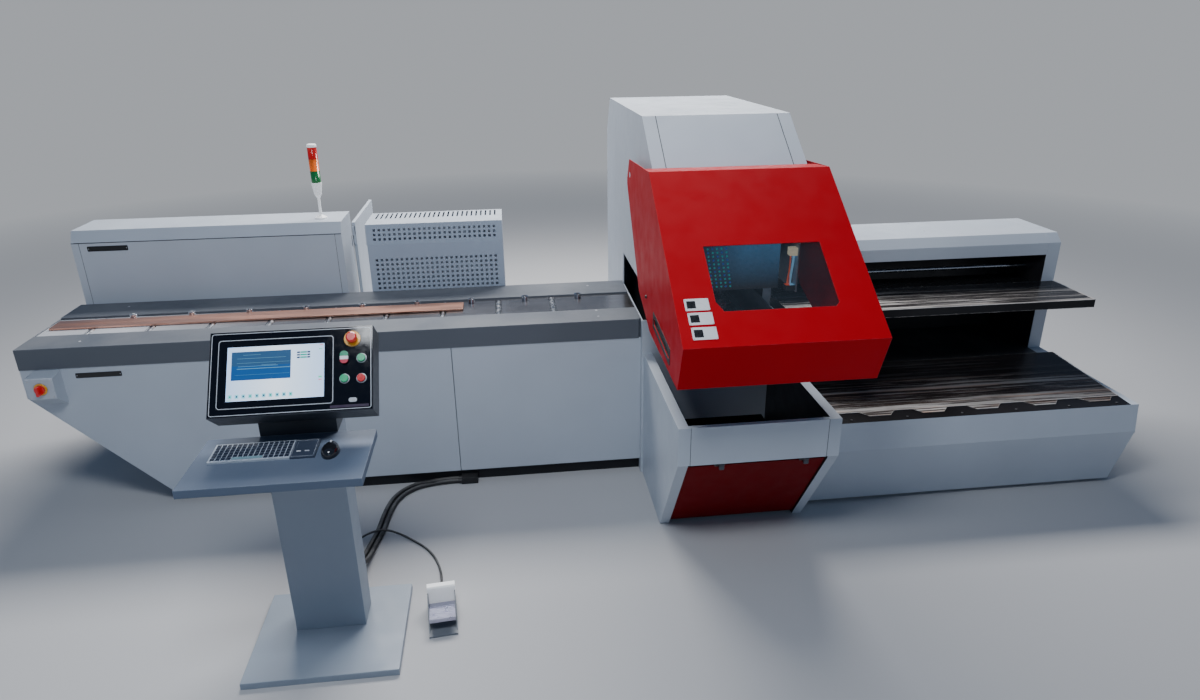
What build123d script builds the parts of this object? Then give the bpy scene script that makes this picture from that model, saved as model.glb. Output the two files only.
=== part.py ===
from build123d import *
import math
import os

# Busbar processing machine: infeed roller table, control cabinet, hydraulic unit,
# punching press with a tilting hood, scrap collector, outfeed table and operator console.
# Millimetres. X runs along the line from infeed to outfeed, Y from the front to the rear,
# Z up from the floor. The origin lies on the floor under the middle of the machine.

# General fits
sheet = 4.0  # folded cover sheet
running_fit = 0.05  # radial play of a pin or shaft in its bore
seat_gap = 0.3  # play beside a part that turns, slides or rests

# Infeed table
infeed_left = -2898.0
infeed_length = 3200.0
infeed_front = -124.0
infeed_depth = 724.0
table_top = 942.0
skirt_height = 112.0
plinth_height = 75.0
plinth_recess = 34.0
nose_run = 597.0  # the left end is cut back at 45 degrees over this height
front_deck_width = 199.0
rear_rail_width = 239.0
rear_rail_rise = 4.0
panel_recess = 4.0
panel_thickness = 20.0
panel_seam_place = 2166.0  # from the left end
panel_seam = 3.0
deck_seam_place = 1622.0  # from the left end
deck_corner_cut = 15.0
groove = 2.0

# Roller trough
trough_plate_thickness = 6.0
trough_plate_sink = 6.0  # plate top below the table top
trough_slot = 12.0  # open slot along the rear rail
trough_slot_depth = 24.0
roller_count = 9
roller_pitch = 311.0
cross_roller_first = 249.5  # from the left end
cross_roller_radius = 15.0
cross_roller_proud = 2.0  # above the plates
cross_roller_stub = 8.0
cross_roller_stub_radius = 6.0
pocket_width = 36.0
pocket_margin = 12.0  # wall in front of the pockets
pocket_rear_wall = 8.0
pocket_depth = 31.0
guide_roller_first = 405.0  # from the left end
guide_roller_radius = 20.0
guide_roller_height = 24.0
guide_pin_radius = 5.0
guide_collar_radius = 8.0
guide_head_height = 3.0
guide_roller_lift = 1.0  # lower face above the plates
guide_roller_setback = 29.0  # pin axis in front of the plates' rear edge

# Copper busbar that lies on the rollers
bar_length = 2200.0
bar_width = 125.0
bar_thickness = 10.0
bar_overhang = 27.0  # from the table's left end to the bar's end

# Main isolator on the infeed front
isolator_width = 130.0
isolator_left = 64.0  # from the left end
isolator_depth = 90.0
isolator_face_low = 703.0
isolator_face_high = 812.0
isolator_back_low = 636.0
isolator_back_high = 825.0
isolator_disc_radius = 31.0
isolator_disc_thickness = 4.0
knob_radius = 24.0
knob_base_height = 12.0
knob_grip_height = 23.0
knob_grip_width = 13.0
spindle_radius = 5.0
spindle_length = 15.0

# Control cabinet behind the infeed
cabinet_left = -2869.0
cabinet_width = 1500.0
cabinet_depth = 325.0
cabinet_height = 1310.0
cabinet_floor = 45.0
lid_height = 65.0
lid_setback = 35.0
mullion_width = 60.0
mullion_depth = 30.0
door_thickness = 20.0
door_width = 747.0
door_low = 60.0
door_top_gap = 10.0  # below the cabinet's top edge
door_play = 2.0
door_hinge_out = 8.0  # hinge axis beyond the side and the rear of the cabinet
door_hinge_reach = 9.0  # from the hinge axis to the door's edge
knuckle_radius = 7.0
knuckle_height = 60.0
hinge_pin_radius = 4.0
low_knuckle_rise = 120.0  # first hinge above the door's lower edge
high_knuckle_drop = 140.0  # last hinge below the door's upper edge
panel_edge_seam = 40.0

# Mounting plate with drives inside the cabinet
mounting_plate_margin = 30.0
mounting_plate_offset = 10.0
mounting_plate_floor_gap = 75.0
mounting_plate_top_gap = 60.0
mounting_stud_radius = 8.0
drive_width = 110.0
drive_height = 320.0
drive_depth = 180.0
drive_pitch = 170.0
drive_count = 3
contactor_size = 70.0
contactor_count = 5
duct_size = 60.0
drive_gap = 20.0  # between a drive and the duct above it

# Stack light
stack_place = 1368.0  # from the cabinet's left side
stack_setback = 141.0  # behind the cabinet front
stack_foot_radius = 35.0
stack_foot_height = 8.0
stack_foot_taper = 14.0
stack_pole_radius = 8.0
stack_pole_height = 144.0
stack_pole_flare = 24.0  # height of the cone under the base
stack_base_height = 70.0
stack_base_low_radius = 21.0
stack_base_radius = 29.5
stack_base_rim = 12.0
stack_lens_radius = 27.0
stack_lens_height = 68.0
stack_lens_count = 3
stack_cap_radius = 28.5
stack_cap_height = 18.0
stack_cap_round = 9.0
stack_core_radius = 18.0

# Hydraulic unit
pump_left = -1233.0
pump_width = 808.0
pump_depth = 340.0
pump_height = 1352.0
pump_crease = 1232.0
pump_front_setback = 14.0
pump_floor = 40.0
grille_sheet = 3.0
grille_columns = 25
grille_pitch = 29.5
grille_hole = 15.0
grille_upper_rows = 3
grille_upper_pitch = 27.0
grille_upper_top = 1318.0
grille_lower_rows = 7
grille_lower_pitch = 29.0
grille_lower_top = 1138.0
grille_corner_cut = 30.0
top_slot_count = 26
top_slot_width = 10.0
top_slot_length = 150.0
tank_width = 640.0
tank_depth = 240.0
tank_height = 360.0
tank_corner = 20.0
motor_radius = 95.0
motor_height = 330.0
pump_body_radius = 60.0
pump_body_height = 60.0

# Press casing
press_width = 765.0
press_low_front = -155.0
press_rear = 1270.0
press_height = 2005.0
press_front = -391.0
press_brow = 1792.0
press_top_front = -91.0
press_top_rear = 1120.0
press_shoulder = 1800.0
press_sheet = 6.0
press_seam = 855.0
press_seam_end = 90.0  # seam stops this far under the roof
roof_seam_inset = 68.0  # from each side to the seams on the sloping roof
roof_seam_width = 4.0
roof_seam_depth = 3.7  # straight down through the slope
throat_rear = 537.0
throat_top = 1140.0

# Welded press frame
frame_plate = 50.0
frame_spread = 435.0
frame_left_inset = 118.0
frame_base = 30.0
frame_low_front = -120.0
frame_bed = 880.0
frame_throat_rear = 560.0
frame_arm_low = 1250.0
frame_arm_front = -330.0
frame_arm_corner = 130.0
frame_high = 1700.0
frame_rear = 1000.0
bed_block_height = 120.0
head_block_height = 150.0
back_web = 60.0
block_front = 60.0
block_rear = 420.0

# Tools over the bar line
tool_line = 237.0  # centre of the bar across the machine
punch_places = (105.0, 225.0)  # from the left frame plate's inner face
shear_place = 350.0
cylinder_radius = 52.0
cylinder_length = 120.0
rod_radius = 22.0
rod_length = 210.0
rod_play_above = 8.0
holder_radius = 32.0
holder_height = 50.0
punch_radius = 8.0
punch_length = 30.0
tool_rest_height = 968.0  # tip of the punches and edge of the blade when raised
tool_stroke = 40.0
blade_thickness = 8.0
blade_width = 150.0
blade_height = 40.0
blade_holder_width = 64.0
die_plate_thickness = 20.0
die_top = 938.0
die_clearance = 1.0
die_radius = 40.0
die_plate_margin = 20.0

# Guard plate in front of the tools and its hoses
guard_thickness = 4.0
guard_low = 1150.0
guard_high = 1560.0
guard_right_over = 30.0  # past the right frame plate
terminal_size = 40.0
terminal_low = 1330.0
terminal_gap = 8.0  # in front of the press arms
hose_anchor_low = 1146.0
hose_anchor_height = 28.0
hose_anchor_over = 8.0  # past the terminal box to the left
red_hose_radius = 4.0
red_hose_inset = 28.0  # from the casing's wall
red_hose_low_inset = 36.0
red_hose_bulge = -6.0  # to the front at mid height
blue_hose_radius = 6.0
blue_hose_inset = 12.0
blue_hose_low_inset = 22.0
blue_hose_bulge = 3.0
hose_straight = 35.0  # below the terminal box
hose_middle = 90.0
hose_rise = 30.0  # straight end above the anchor

# Hood
hood_gap = 46.0  # between the casing and the hood side
hood_brow_gap = 2.0  # between the casing's brow and the hood's rear edge
hood_sheet = 4.0
hood_brow_front = -553.0
hood_brow_height = 1803.0
hood_lip_front = -1346.0
hood_lip_height = 1245.0
hood_toe_front = -1263.0
hood_toe_height = 1033.0
hood_rear_top = (23.0, 1778.0)
hood_rear_back = (89.0, 1674.0)
hood_rear_low = (89.0, 1637.0)
hood_side_knee = (-314.0, 1163.0)
hood_side_low = (-631.0, 1054.0)
hood_hinge_y = 0.0
hood_hinge_z = 1700.0
hood_pin_radius = 15.0
hood_collar_radius = 26.0
window_left = 172.0
window_right = 689.0
window_top = 452.0
window_bottom = 798.0
window_left_cut = (27.0, 50.0)
window_right_cut = (18.0, 20.0)
window_lap = 20.0
window_thickness = 5.0
handle_front_reach = 169.0  # behind the toe
handle_front_rise = 80.0  # above the toe
handle_length = 367.0
handle_slope = 35.0
handle_height = 35.0

# Scrap collector under the hood
collector_offset = 11.0  # right of the press casing's left side
collector_width = 765.0
collector_front = -1060.0
collector_top = 745.0
collector_panel_low = 552.0
collector_foot_front = -688.0
collector_wall = 50.0
collector_front_wall = 25.0
collector_seam = 58.0  # from each side to the front panel's seams
chute_front_rise = 40.0  # above the front panel's lower edge
chute_rear_drop = 120.0  # below it
scrap_door_thickness = 18.0
scrap_door_recess = 12.0
scrap_door_play = 3.0
scrap_door_floor = 25.0
scrap_hinge_radius = 9.0
scrap_hinge_length = 46.0
scrap_hinge_pin_radius = 4.0
scrap_hinge_leaf = 6.0
scrap_hinge_gap = 2.0  # above and below the barrel
scrap_hinge_arm = 20.0
scrap_hinge_places = (179.0, 583.0)  # from the collector's left side
bin_wall = 5.0
bin_height = 330.0
bin_play = 20.0

# Outfeed table
outfeed_right = 2898.0
outfeed_toe = -621.0
outfeed_toe_height = 25.0
outfeed_belly = -724.0
outfeed_belly_height = 372.0
outfeed_front = -704.0
outfeed_rear = 586.0
outfeed_deck = 524.0
outfeed_foot_inset = 60.0
tray_rear = -40.0
tray_rise = 37.0
tray_right_margin = 44.0
tray_sheet = 4.0
tray_strip = 100.0
tongue_places = (1477.0, 1771.0, 2072.0, 2400.0, 2715.0)
tongue_root_width = 198.0
tongue_tip_width = 115.0
tongue_length = 45.0
end_panel_thickness = 80.0
end_panel_left_thickness = 50.0
end_panel_front = 140.0
bar_window_margin = 20.0
bar_window_top = 1100.0
cover_low = 1124.0
cover_edge = 1196.0
cover_top = 1247.0
cover_setback = 54.0
shelf_top = 936.0
shelf_thickness = 20.0
shelf_rear = 400.0
shelf_setback = 5.0
ledge_width = 20.0
ledge_height = 15.0
shelf_rod_radius = 12.0
shelf_rod_y = 330.0
shelf_rod_z = 1010.0
flap_top = 960.0
flap_front = -234.0
flap_rear = 136.0
flap_sheet = 5.0
flap_lip = 48.0
flap_left_margin = 50.0
flap_hinge_radius = 10.0
flap_pin_radius = 5.0
flap_hinge_length = 70.0
flap_hinge_places = (260.0, 900.0, 1500.0)  # from the flap's left end

# Operator console
console_base_left = -1542.0
console_base_width = 617.0
console_base_front = -1594.0
console_base_depth = 543.0
console_base_height = 30.0
column_left = -1386.0
column_width = 291.0
column_front = -1307.0
column_depth = 148.0
column_wall = 4.0
column_corner = 3.0
desk_height = 965.0
desk_left = -1578.0
desk_width = 630.0
desk_front = -1680.0
desk_lip = 32.0
desk_sheet = 3.0
gusset_thickness = 5.0
gusset_front = -1640.0
gusset_depth = 110.0
gusset_nose = 10.0  # below the desk's lip at the front end
monitor_width = 590.0
monitor_height = 326.0
monitor_depth = 125.0
monitor_tilt = 37.7
monitor_centre = (-1219.0, -1347.0, 1246.0)
bezel_left = -262.0
bezel_right = 151.0
bezel_low = -132.0
bezel_high = 129.0
bezel_sink = 6.0
bezel_proud = 3.0
glass_side_margin = 33.0  # from the bezel's edge to the glass
glass_end_margin = 28.0
glass_sink = 1.0
button_bore = 12.0  # depth of each button's bore in the housing
button_stem_radius = 8.0
button_travel = 4.0
button_radius = 15.0
button_height = 8.0
button_edge = 1.5
upper_left_button = (190.7, 40.2)
upper_right_button = (252.6, 36.0)
lower_left_button = (191.0, -40.4)
lower_right_button = (252.5, -41.7)
twin_button_width = 30.0
twin_button_height = 48.0
twin_button_corner = 14.0
estop_place = (219.0, 113.0)
estop_ring_radius = 31.0
estop_ring_height = 3.0
estop_radius = 20.0
estop_height = 24.0
estop_edge = 5.0

# Keyboard and mouse
keyboard_left = -1519.0
keyboard_width = 376.0
keyboard_front = -1508.0
keyboard_depth = 122.0
keyboard_height = 16.0
key_columns = 15
key_rows = 6
key_pitch = 18.6
key_row_pitch = 18.0
key_gap = 3.4
key_height = 3.0
key_margin = 8.0
space_bar_columns = (4, 9)
touchpad_width = 66.0
touchpad_depth = 44.0
touchpad_sink = 1.0
touchpad_margin = 10.0
mouse_left = -1125.0
mouse_width = 68.0
mouse_front = -1530.0
mouse_length = 112.0
mouse_height = 36.0
mouse_crown = 0.5  # share of the plan that is left at the top
wheel_radius = 10.0
wheel_width = 8.0
wheel_place = 30.0  # behind the mouse's front end
wheel_height = 28.0

# Foot switch
foot_place = (-773.0, -1262.0)
foot_turn = 5.0
foot_width = 123.0
foot_length = 265.0
foot_plate = 8.0
cheek_thickness = 5.0
cheek_height = 92.0
cheek_front_gap = 20.0  # behind the plate's front edge
cheek_top_run = 20.0  # level stretch at the top
cheek_window_front = 75.0  # behind the plate's front edge
cheek_window_rise = 12.0
cheek_window_rear = 14.0
cheek_window_top = 22.0
foot_hood_length = 100.0
foot_hood_front_gap = 20.0
foot_hood_height = 118.0
foot_hood_edge = 6.0
foot_hood_step = 10.0
foot_hood_drop = 20.0
foot_cap_width = 84.0
foot_cap_length = 38.0
foot_cap_height = 82.0
foot_cap_run = 12.0
foot_cap_drop = 16.0
foot_cap_clearance = 8.0  # over the cable gland
pedal_length = 138.0
pedal_thickness = 7.0
pedal_side_play = 1.0
pedal_lip = 10.0
pedal_axis_height = 34.0
pedal_axis_place = 8.0  # behind the hood's front end
pedal_pin_radius = 4.0
pedal_tube_wall = 4.0
pedal_slope = 12.0
pedal_rib_count = 6
pedal_rib_width = 4.0
pedal_rib_height = 1.5
pedal_rib_first = 30.0  # from the pin
pedal_rib_pitch = 18.0
foot_gland_length = 18.0
foot_gland_height = 24.0
foot_cable_lead = 55.0  # straight end before the gland

# Cables on the floor
cable_radius = 12.5
foot_cable_radius = 5.5
gland_radius = 15.0
floor_gland_radius = 13.5
foot_gland_radius = 9.0
gland_length = 20.0
entry_box_width = 93.0
entry_box_depth = 58.0
entry_box_height = 38.0
entry_box_left = -733.0
column_gland_length = 25.0

# The two supply cables and the foot switch cable, each from its gland to its gland.
cable_left_route = (
    (-753.0, -104.0, 16.0),
    (-805.0, -104.0, 16.0),
    (-895.0, -110.0, 12.6),
    (-1015.0, -141.0, 12.6),
    (-1100.0, -247.0, 12.6),
    (-1131.0, -397.0, 12.6),
    (-1143.0, -575.0, 12.6),
    (-1168.0, -700.0, 12.6),
    (-1183.0, -815.0, 22.0),
    (-1193.0, -905.0, 60.0),
    (-1202.0, -985.0, 112.0),
    (-1207.0, -1060.0, 150.0),
    (-1207.0, -1134.0, 150.0),
)
cable_right_route = (
    (-753.0, -132.0, 16.0),
    (-805.0, -132.0, 16.0),
    (-885.0, -138.0, 12.6),
    (-990.0, -170.0, 12.6),
    (-1069.0, -260.0, 12.6),
    (-1102.0, -402.0, 12.6),
    (-1115.0, -578.0, 12.6),
    (-1140.0, -698.0, 12.6),
    (-1153.0, -812.0, 22.0),
    (-1162.0, -905.0, 60.0),
    (-1168.0, -985.0, 112.0),
    (-1170.0, -1060.0, 150.0),
    (-1170.0, -1134.0, 150.0),
)
foot_cable_route = (
    (-1240.0, -1134.0, 100.0),
    (-1240.0, -1084.0, 100.0),
    (-1252.0, -1012.0, 74.0),
    (-1272.0, -925.0, 32.0),
    (-1293.0, -835.0, 5.6),
    (-1283.0, -750.0, 5.6),
    (-1245.0, -680.0, 22.0),
    (-1185.0, -632.0, 44.0),
    (-1100.0, -608.0, 44.0),
    (-1016.0, -632.0, 18.0),
    (-952.0, -678.0, 5.6),
    (-888.0, -745.0, 5.6),
    (-842.0, -820.0, 5.6),
    (-812.0, -905.0, 5.6),
    (-796.0, -985.0, 12.0),
)

# Places that follow from the sizes
infeed_right = infeed_left + infeed_length
infeed_rear = infeed_front + infeed_depth
skirt_low = table_top - skirt_height
trough_front = infeed_front + front_deck_width
trough_rear = infeed_rear - rear_rail_width
plate_top = table_top - trough_plate_sink
plate_low = plate_top - trough_plate_thickness
plate_rear = trough_rear - trough_slot
panel_front = infeed_front + panel_recess
casing_front = panel_front + panel_thickness
cross_roller_axis = plate_top + cross_roller_proud - cross_roller_radius
bar_low = plate_top + cross_roller_proud + running_fit
guide_axis = plate_rear - guide_roller_setback
bar_rear = guide_axis - guide_roller_radius - seat_gap

cabinet_front = infeed_rear
cabinet_rear = cabinet_front + cabinet_depth
cabinet_right = cabinet_left + cabinet_width
lid_top = cabinet_height + lid_height
door_inner = cabinet_rear + door_play
door_high = cabinet_height - door_top_gap
mounting_plate_low = cabinet_floor + mounting_plate_floor_gap
mounting_plate_high = cabinet_height - mounting_plate_top_gap

pump_right = pump_left + pump_width
pump_front = infeed_rear
pump_rear = pump_front + pump_depth

press_left = infeed_right
press_right = press_left + press_width
frame_left = press_left + frame_left_inset
frame_inner_left = frame_left + frame_plate
frame_inner_right = frame_inner_left + frame_spread
frame_right = frame_inner_right + frame_plate
cylinder_low = frame_arm_low - cylinder_length
hood_left = press_left - hood_gap
hood_right = press_right + hood_gap
handle_front = (hood_toe_front + handle_front_reach, hood_toe_height + handle_front_rise)
handle_rear = (handle_front[0] + handle_length, handle_front[1] + handle_slope)

collector_left = press_left + collector_offset
collector_right = collector_left + collector_width
outfeed_left = press_right

column_right = column_left + column_width
column_rear = column_front + column_depth


# Helpers


def block(x, y, z):
    """A box between two corners, with each axis given as (low, high)."""
    centre = Pos((x[0] + x[1]) / 2, (y[0] + y[1]) / 2, (z[0] + z[1]) / 2)
    return centre * Box(x[1] - x[0], y[1] - y[0], z[1] - z[0])


def face_of(points):
    return make_face(Polyline(*points, close=True))


def along_x(points, x):
    """A prism from x[0] to x[1] with its outline given as (y, z) points."""
    return extrude(Plane.YZ.offset(x[0]) * face_of(points), amount=x[1] - x[0])


def along_y(points, y):
    """A prism from y[0] to y[1] with its outline given as (x, z) points."""
    return extrude(Plane.XZ.offset(-y[1]) * face_of(points), amount=y[1] - y[0])


def along_z(points, z):
    """A prism from z[0] to z[1] with its outline given as (x, y) points."""
    return extrude(Plane.XY.offset(z[0]) * face_of(points), amount=z[1] - z[0])


def rod_x(x, y, z, radius):
    return extrude(Plane.YZ.offset(x[0]) * Pos(y, z) * Circle(radius), amount=x[1] - x[0])


def rod_y(x, y, z, radius):
    return extrude(Plane.XZ.offset(-y[1]) * Pos(x, z) * Circle(radius), amount=y[1] - y[0])


def rod_z(x, y, z, radius):
    return extrude(Plane.XY.offset(z[0]) * Pos(x, y) * Circle(radius), amount=z[1] - z[0])


def turned(x, y, outline):
    """A turned piece on an upright axis, with its half outline given as (radius, height) points."""
    return Pos(x, y, 0) * revolve(Plane.XZ * face_of(outline), Axis.Z)


def folded_sheet(points, thickness, x, side=Side.LEFT):
    """A sheet folded along a line of (y, z) points and running from x[0] to x[1]."""
    line = Polyline(*points)
    strip = make_face(offset(line, amount=thickness, side=side, kind=Kind.INTERSECTION))
    return extrude(Plane.YZ.offset(x[0]) * strip, amount=x[1] - x[0])


def save(name, *solids):
    """Writes one node: a single solid, or several solids that stay separate."""
    shape = solids[0] if len(solids) == 1 else Compound(children=list(solids))
    export_step(shape, f"parts/{name}.step")


# Infeed table


def cross_roller_places():
    first = infeed_left + cross_roller_first
    return [first + roller_pitch * index for index in range(roller_count)]


def guide_roller_places():
    first = infeed_left + guide_roller_first
    return [first + roller_pitch * index for index in range(roller_count)]


def infeed_outline(left, right):
    """Front outline of the table between two ends; only the left end is cut back."""
    if left > infeed_left:
        return [(left, skirt_low), (left, plinth_height), (right, plinth_height), (right, skirt_low)]
    return [
        (infeed_left, skirt_low),
        (infeed_left, plinth_height + nose_run),
        (infeed_left + nose_run, plinth_height),
        (right, plinth_height),
        (right, skirt_low),
    ]


def infeed_casing():
    """The closed table body with the roller bed on top, pocketed for the rollers."""
    body = along_y(infeed_outline(infeed_left, infeed_right), (casing_front, infeed_rear))
    bed = block((infeed_left + sheet, infeed_right), (trough_front, trough_rear), (skirt_low, plate_low))
    slot_low = plate_low - trough_slot_depth + pocket_rear_wall
    slot = block((infeed_left + sheet, infeed_right), (plate_rear, trough_rear), (slot_low, plate_low))
    casing = body + bed - slot
    front = trough_front + pocket_margin
    rear = plate_rear - pocket_rear_wall
    for place in cross_roller_places():
        sides = (place - pocket_width / 2, place + pocket_width / 2)
        casing -= block(sides, (front, rear), (plate_top - pocket_depth, plate_low))
        bore = cross_roller_stub_radius + running_fit
        span = (front - cross_roller_stub, rear + cross_roller_stub)
        casing -= rod_y(place, span, cross_roller_axis, bore)
    save("infeed_casing", casing)


def infeed_front_panels():
    """Two removable panels that close the front of the table."""
    seam = infeed_left + panel_seam_place
    spans = ((infeed_left, seam - panel_seam / 2), (seam + panel_seam / 2, infeed_right))
    panels = [along_y(infeed_outline(*span), (panel_front, casing_front)) for span in spans]
    save("infeed_front_panels", *panels)


def infeed_front_rail():
    """Dark skirt and deck along the front, with the end plate on the left."""
    outline = [
        (infeed_front, skirt_low),
        (infeed_front, table_top - groove),
        (infeed_front + groove, table_top),
        (trough_front, table_top),
        (trough_front, skirt_low),
    ]
    rail = along_x(outline, (infeed_left, infeed_right))
    corner = [
        (infeed_right, infeed_front),
        (infeed_right - deck_corner_cut, infeed_front),
        (infeed_right, infeed_front + deck_corner_cut),
    ]
    rail -= along_z(corner, (skirt_low, table_top))
    seam = infeed_left + deck_seam_place
    rail -= block((seam, seam + groove), (infeed_front, trough_front), (table_top - groove, table_top))
    end = block((infeed_left, infeed_left + sheet), (trough_front, trough_rear), (skirt_low, table_top))
    save("infeed_front_rail", rail + end)


def infeed_rear_rail():
    top = table_top + rear_rail_rise
    outline = [
        (trough_rear, skirt_low),
        (trough_rear, top - groove),
        (trough_rear + groove, top),
        (infeed_rear - groove, top),
        (infeed_rear, top - groove),
        (infeed_rear, skirt_low),
    ]
    save("infeed_rear_rail", along_x(outline, (infeed_left, infeed_right)))


def trough_plates():
    """Polished plate with a window over each cross roller, and the guide rollers' pins on it."""
    across = (trough_front, plate_rear)
    plate = block((infeed_left + sheet, infeed_right), across, (plate_low, plate_top))
    window = (trough_front + pocket_margin, plate_rear - pocket_rear_wall)
    for place in cross_roller_places():
        sides = (place - pocket_width / 2, place + pocket_width / 2)
        plate -= block(sides, window, (plate_low, plate_top))
    save("trough_plates", plate, *[guide_pin(place) for place in guide_roller_places()])


def guide_pin(place):
    """Shouldered pin that stands on the plate, with a head over the roller."""
    head_low = guide_roller_span()[1] + seat_gap
    outline = [
        (0, plate_top),
        (guide_collar_radius, plate_top),
        (guide_collar_radius, plate_top + guide_roller_lift - seat_gap),
        (guide_pin_radius, plate_top + guide_roller_lift - seat_gap),
        (guide_pin_radius, head_low),
        (guide_collar_radius, head_low),
        (guide_collar_radius, head_low + guide_head_height),
        (0, head_low + guide_head_height),
    ]
    return turned(place, guide_axis, outline)


def guide_roller_span():
    low = plate_top + guide_roller_lift
    return low, low + guide_roller_height


def guide_rollers():
    rollers = []
    for place in guide_roller_places():
        roller = rod_z(place, guide_axis, guide_roller_span(), guide_roller_radius)
        roller -= rod_z(place, guide_axis, guide_roller_span(), guide_pin_radius + running_fit)
        rollers.append(roller)
    save("guide_rollers", *rollers)


def cross_rollers():
    front = trough_front + pocket_margin
    rear = plate_rear - pocket_rear_wall
    rollers = []
    for place in cross_roller_places():
        body = (front + seat_gap, rear - seat_gap)
        stubs = (front - cross_roller_stub + seat_gap, rear + cross_roller_stub - seat_gap)
        roller = rod_y(place, body, cross_roller_axis, cross_roller_radius)
        roller += rod_y(place, stubs, cross_roller_axis, cross_roller_stub_radius)
        rollers.append(roller)
    save("cross_rollers", *rollers)


def infeed_plinth():
    left = infeed_left + nose_run
    front = infeed_front + plinth_recess
    rear = infeed_rear - plinth_recess
    save("infeed_plinth", block((left, infeed_right), (front, rear), (0, plinth_height)))


def copper_bar():
    left = infeed_left + bar_overhang
    across = (bar_rear - bar_width, bar_rear)
    save("copper_bar", block((left, left + bar_length), across, (bar_low, bar_low + bar_thickness)))


# Main isolator


def isolator_centre():
    across = infeed_left + isolator_left + isolator_width / 2
    return across, (isolator_face_low + isolator_face_high) / 2


def isolator_box():
    """Wedge-shaped box that stands on the front panel, with a round plate under the knob."""
    face = panel_front - isolator_depth
    outline = [
        (panel_front, isolator_back_low),
        (panel_front, isolator_back_high),
        (face, isolator_face_high),
        (face, isolator_face_low),
    ]
    left = infeed_left + isolator_left
    box = along_x(outline, (left, left + isolator_width))
    x, z = isolator_centre()
    box += rod_y(x, (face - isolator_disc_thickness, face), z, isolator_disc_radius)
    bore = (face - isolator_disc_thickness, face + spindle_length)
    save("isolator_box", box - rod_y(x, bore, z, spindle_radius + running_fit))


def isolator_knob():
    face = panel_front - isolator_depth - isolator_disc_thickness - seat_gap
    x, z = isolator_centre()
    base = (face - knob_base_height, face)
    knob = rod_y(x, base, z, knob_radius)
    grip_front = base[0] - knob_grip_height
    grip = block(
        (x - knob_grip_width / 2, x + knob_grip_width / 2),
        (grip_front, base[0]),
        (z - knob_radius, z + knob_radius),
    )
    knob += grip & rod_y(x, (grip_front, base[0]), z, knob_radius)
    knob += rod_y(x, (face, face + spindle_length), z, spindle_radius)
    save("isolator_knob", knob)


# Control cabinet


def door_knuckle_heights():
    """Lower ends of the three hinges of a rear door."""
    low = door_low + low_knuckle_rise
    high = door_high - high_knuckle_drop
    return low, (low + high) / 2, high


def control_cabinet():
    """Sheet cabinet open at the rear, with a middle post and three hinge halves a side."""
    outer = block((cabinet_left, cabinet_right), (cabinet_front, cabinet_rear), (0, cabinet_height))
    inner = block(
        (cabinet_left + sheet, cabinet_right - sheet),
        (cabinet_front + sheet, cabinet_rear),
        (cabinet_floor, cabinet_height - sheet),
    )
    middle = (cabinet_left + cabinet_right) / 2
    post = block(
        (middle - mullion_width / 2, middle + mullion_width / 2),
        (cabinet_rear - mullion_depth, cabinet_rear),
        (cabinet_floor, cabinet_height - sheet),
    )
    cabinet = outer - inner + post
    for seam in (cabinet_left + panel_edge_seam, cabinet_right - panel_edge_seam):
        line = block((seam, seam + groove), (cabinet_front, cabinet_front + groove), (0, cabinet_height))
        cabinet -= line
    for side, edge in ((-1, cabinet_left), (1, cabinet_right)):
        axis = edge + side * door_hinge_out
        for low in door_knuckle_heights():
            barrel = rod_z(axis, cabinet_rear + door_hinge_out, (low, low + knuckle_height), knuckle_radius)
            pin = rod_z(
                axis,
                cabinet_rear + door_hinge_out,
                (low, low + 2 * knuckle_height),
                hinge_pin_radius,
            )
            leaf_x = sorted((edge, edge + side * sheet))
            leaf = block(
                leaf_x,
                (cabinet_rear - knuckle_height / 2, cabinet_rear + door_hinge_out),
                (low, low + knuckle_height),
            )
            cabinet += barrel + pin + leaf
    save("control_cabinet", cabinet)


def cabinet_lid():
    outer = [
        (cabinet_front, cabinet_height),
        (cabinet_front + lid_setback, lid_top),
        (cabinet_rear, lid_top),
        (cabinet_rear, cabinet_height),
    ]
    inner = [
        (cabinet_front + 2 * sheet, cabinet_height),
        (cabinet_front + lid_setback + sheet, lid_top - sheet),
        (cabinet_rear - sheet, lid_top - sheet),
        (cabinet_rear - sheet, cabinet_height),
    ]
    lid = along_x(outer, (cabinet_left, cabinet_right))
    lid -= along_x(inner, (cabinet_left + sheet, cabinet_right - sheet))
    save("cabinet_lid", lid)


def cabinet_door(name, side, quarter_turns):
    """A rear door, shut or swung open by whole quarter turns about its hinge."""
    edge = cabinet_left if side < 0 else cabinet_right
    axis_x = edge + side * door_hinge_out
    axis_y = cabinet_rear + door_hinge_out
    near = axis_x - side * door_hinge_reach
    far = axis_x - side * door_width
    door = block(sorted((near, far)), (door_inner, door_inner + door_thickness), (door_low, door_high))
    inner = block(
        sorted((near - side * 3 * sheet, far + side * 3 * sheet)),
        (door_inner, door_inner + door_thickness - sheet),
        (door_low + 3 * sheet, door_high - 3 * sheet),
    )
    door -= inner
    for low in door_knuckle_heights():
        heights = (low + knuckle_height + seat_gap, low + 2 * knuckle_height)
        door += rod_z(axis_x, axis_y, heights, knuckle_radius)
        arm_y = (door_inner, axis_y)
        door += block(sorted((near - side * sheet, axis_x)), arm_y, heights)
        door -= rod_z(axis_x, axis_y, heights, hinge_pin_radius + running_fit)
    hinge = Axis((axis_x, axis_y, 0), (0, 0, 1))
    save(name, door.rotate(hinge, 90 * quarter_turns))


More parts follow.
